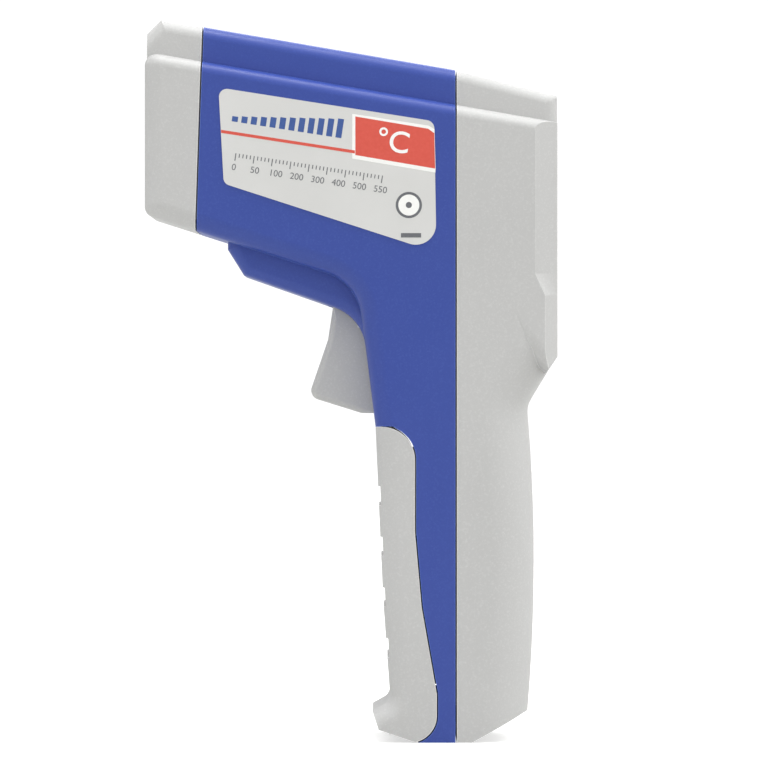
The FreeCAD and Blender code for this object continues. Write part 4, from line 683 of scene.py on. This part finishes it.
def scale_tree():
    """A row of thin upright marks, every few of them longer, on a sloping line."""
    tree = bpy.data.node_groups.new("degree_scale", "GeometryNodeTree")
    face = tree.interface
    face.new_socket("Geometry", in_out="INPUT", socket_type="NodeSocketGeometry")
    for label, kind in (
            ("Marks", "NodeSocketInt"), ("Step", "NodeSocketVector"), ("Width", "NodeSocketFloat"),
            ("Height", "NodeSocketFloat"), ("Thickness", "NodeSocketFloat"),
            ("Long Every", "NodeSocketInt"), ("Long Ratio", "NodeSocketFloat"),
            ("Start", "NodeSocketVector"), ("Slope", "NodeSocketFloat"), ("Ink", "NodeSocketMaterial")):
        face.new_socket(label, in_out="INPUT", socket_type=kind)
    face.new_socket("Geometry", in_out="OUTPUT", socket_type="NodeSocketGeometry")
    given = add(tree, "NodeGroupInput").outputs
    line = add(tree, "GeometryNodeMeshLine", {
        "Count": given["Marks"], "Start Location": given["Start"], "Offset": given["Step"]},
        mode="OFFSET")
    size = add(tree, "ShaderNodeCombineXYZ", {
        "X": given["Width"], "Y": given["Thickness"], "Z": given["Height"]})
    mark = add(tree, "GeometryNodeMeshCube", {"Size": size.outputs["Vector"]})
    lower = add(tree, "ShaderNodeMath", {0: given["Height"], 1: -0.5}, operation="MULTIPLY")
    hang = add(tree, "ShaderNodeCombineXYZ", {"Z": lower.outputs["Value"]})
    hung = add(tree, "GeometryNodeTransform", {
        "Geometry": mark.outputs["Mesh"], "Translation": hang.outputs["Vector"]})
    index = add(tree, "GeometryNodeInputIndex")
    step = add(tree, "ShaderNodeMath", {
        0: index.outputs["Index"], 1: given["Long Every"]}, operation="MODULO")
    is_long = add(tree, "ShaderNodeMath", {0: step.outputs["Value"], 1: 0.5}, operation="LESS_THAN")
    ratio = add(tree, "ShaderNodeMapRange", {
        "Value": is_long.outputs["Value"], "To Min": 1.0, "To Max": given["Long Ratio"]})
    stretch = add(tree, "ShaderNodeCombineXYZ", {"X": 1.0, "Y": 1.0, "Z": ratio.outputs["Result"]})
    lean = add(tree, "ShaderNodeCombineXYZ", {"Y": given["Slope"]})
    turn = add(tree, "FunctionNodeEulerToRotation", {"Euler": lean.outputs["Vector"]})
    row = add(tree, "GeometryNodeInstanceOnPoints", {
        "Points": line.outputs["Mesh"], "Instance": hung.outputs["Geometry"],
        "Rotation": turn.outputs["Rotation"], "Scale": stretch.outputs["Vector"]})
    real = add(tree, "GeometryNodeRealizeInstances", {"Geometry": row.outputs["Instances"]})
    inked = add(tree, "GeometryNodeSetMaterial", {
        "Geometry": real.outputs["Geometry"], "Material": given["Ink"]})
    add(tree, "NodeGroupOutput", {"Geometry": inked.outputs["Geometry"]})
    return tree


def grown(name, tree, values):
    """Run a tree on an empty mesh with its named inputs set, and keep a plain mesh."""
    piece = bpy.data.objects.new(name, bpy.data.meshes.new(name))
    bpy.context.scene.collection.objects.link(piece)
    modifier = piece.modifiers.new(name, "NODES")
    modifier.node_group = tree
    sockets = {item.name: item.identifier for item in tree.interface.items_tree
               if item.item_type == "SOCKET" and item.in_out == "INPUT"}
    for label, value in values.items():
        modifier[sockets[label]] = value
    bpy.context.view_layer.update()
    made = bpy.data.meshes.new_from_object(piece.evaluated_get(bpy.context.evaluated_depsgraph_get()))
    piece.modifiers.remove(modifier)
    piece.data = made
    return piece


degree_scale = scale_tree()
for side, word in ((1, "left"), (-1, "right")):
    place = on_side(side)
    first, full, proud = (LABEL_FACE + INK_THICK * share for share in (0.5, 1, 1.5))
    pieces = [
        plates(word + "_print_edge", [PALE_EDGE], place, LABEL_FOOT, first, white_ink),
        plates(word + "_print_red", [RED_PANEL, RED_RULE], place, LABEL_FOOT, full, red_ink)]
    bars = []
    for i in range(BARS):
        a = BAR_START[0] - i * BAR_PITCH
        b = BAR_START[1] - i * BAR_PITCH * BAR_BASE
        high = BAR_LOW + BAR_GROWTH * i / BARS
        bars.append([(a, b), (a - BAR_WIDE, b - BAR_WIDE * BAR_BASE),
                     (a - BAR_WIDE - high * BAR_LEAN, b - BAR_WIDE * BAR_BASE + high),
                     (a - high * BAR_LEAN, b + high)])
    pieces.append(plates(word + "_print_bars", bars, place, LABEL_FOOT, full, blue_ink))
    step = [(end - start) / (TICKS - 1) for start, end in zip(SCALE_START, SCALE_END)]
    pieces.append(grown(word + "_print_scale", degree_scale, {
        "Marks": TICKS, "Step": (step[0] * MM, 0, step[1] * MM), "Width": TICK_WIDE * MM,
        "Height": TICK_HIGH * MM, "Thickness": 2 * INK_THICK * MM, "Long Every": LONG_EVERY,
        "Long Ratio": LONG_RATIO, "Slope": -SLOPE, "Ink": grey_ink,
        "Start": (SCALE_START[0] * MM, side * LABEL_FACE * MM, SCALE_START[1] * MM)}))
    start, end = (SCALE_START, SCALE_END) if side > 0 else (SCALE_END, SCALE_START)
    for i, figure in enumerate(FIGURES):
        along = i / (len(FIGURES) - 1)
        centre = [s + (e - s) * along for s, e in zip(start, end)]
        centre = (centre[0] + FIGURE_AHEAD, centre[1] - FIGURE_DROP)
        pieces.append(lettering(f"{word}_figure_{figure}", figure, FIGURE_SIZE, centre, side, grey_ink))
    pieces.append(lettering(word + "_unit", "°C", UNIT_SIZE, UNIT_PLACE, side, white_ink, True,
                            LABEL_FACE + 2 * INK_THICK))
    pieces += [
        plates(word + "_print_spot", [disc(*SPOT_PLACE, SPOT_OUT)], place,
               LABEL_FOOT, first, grey_ink),
        plates(word + "_print_spot_field", [disc(*SPOT_PLACE, SPOT_IN)], place,
               LABEL_FOOT, full, white_ink),
        plates(word + "_print_spot_dot", [disc(*SPOT_PLACE, SPOT_DOT), rectangle(*SPOT_RULE)], place,
               LABEL_FOOT, proud, grey_ink)]
    for piece in pieces:
        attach(piece, "case")
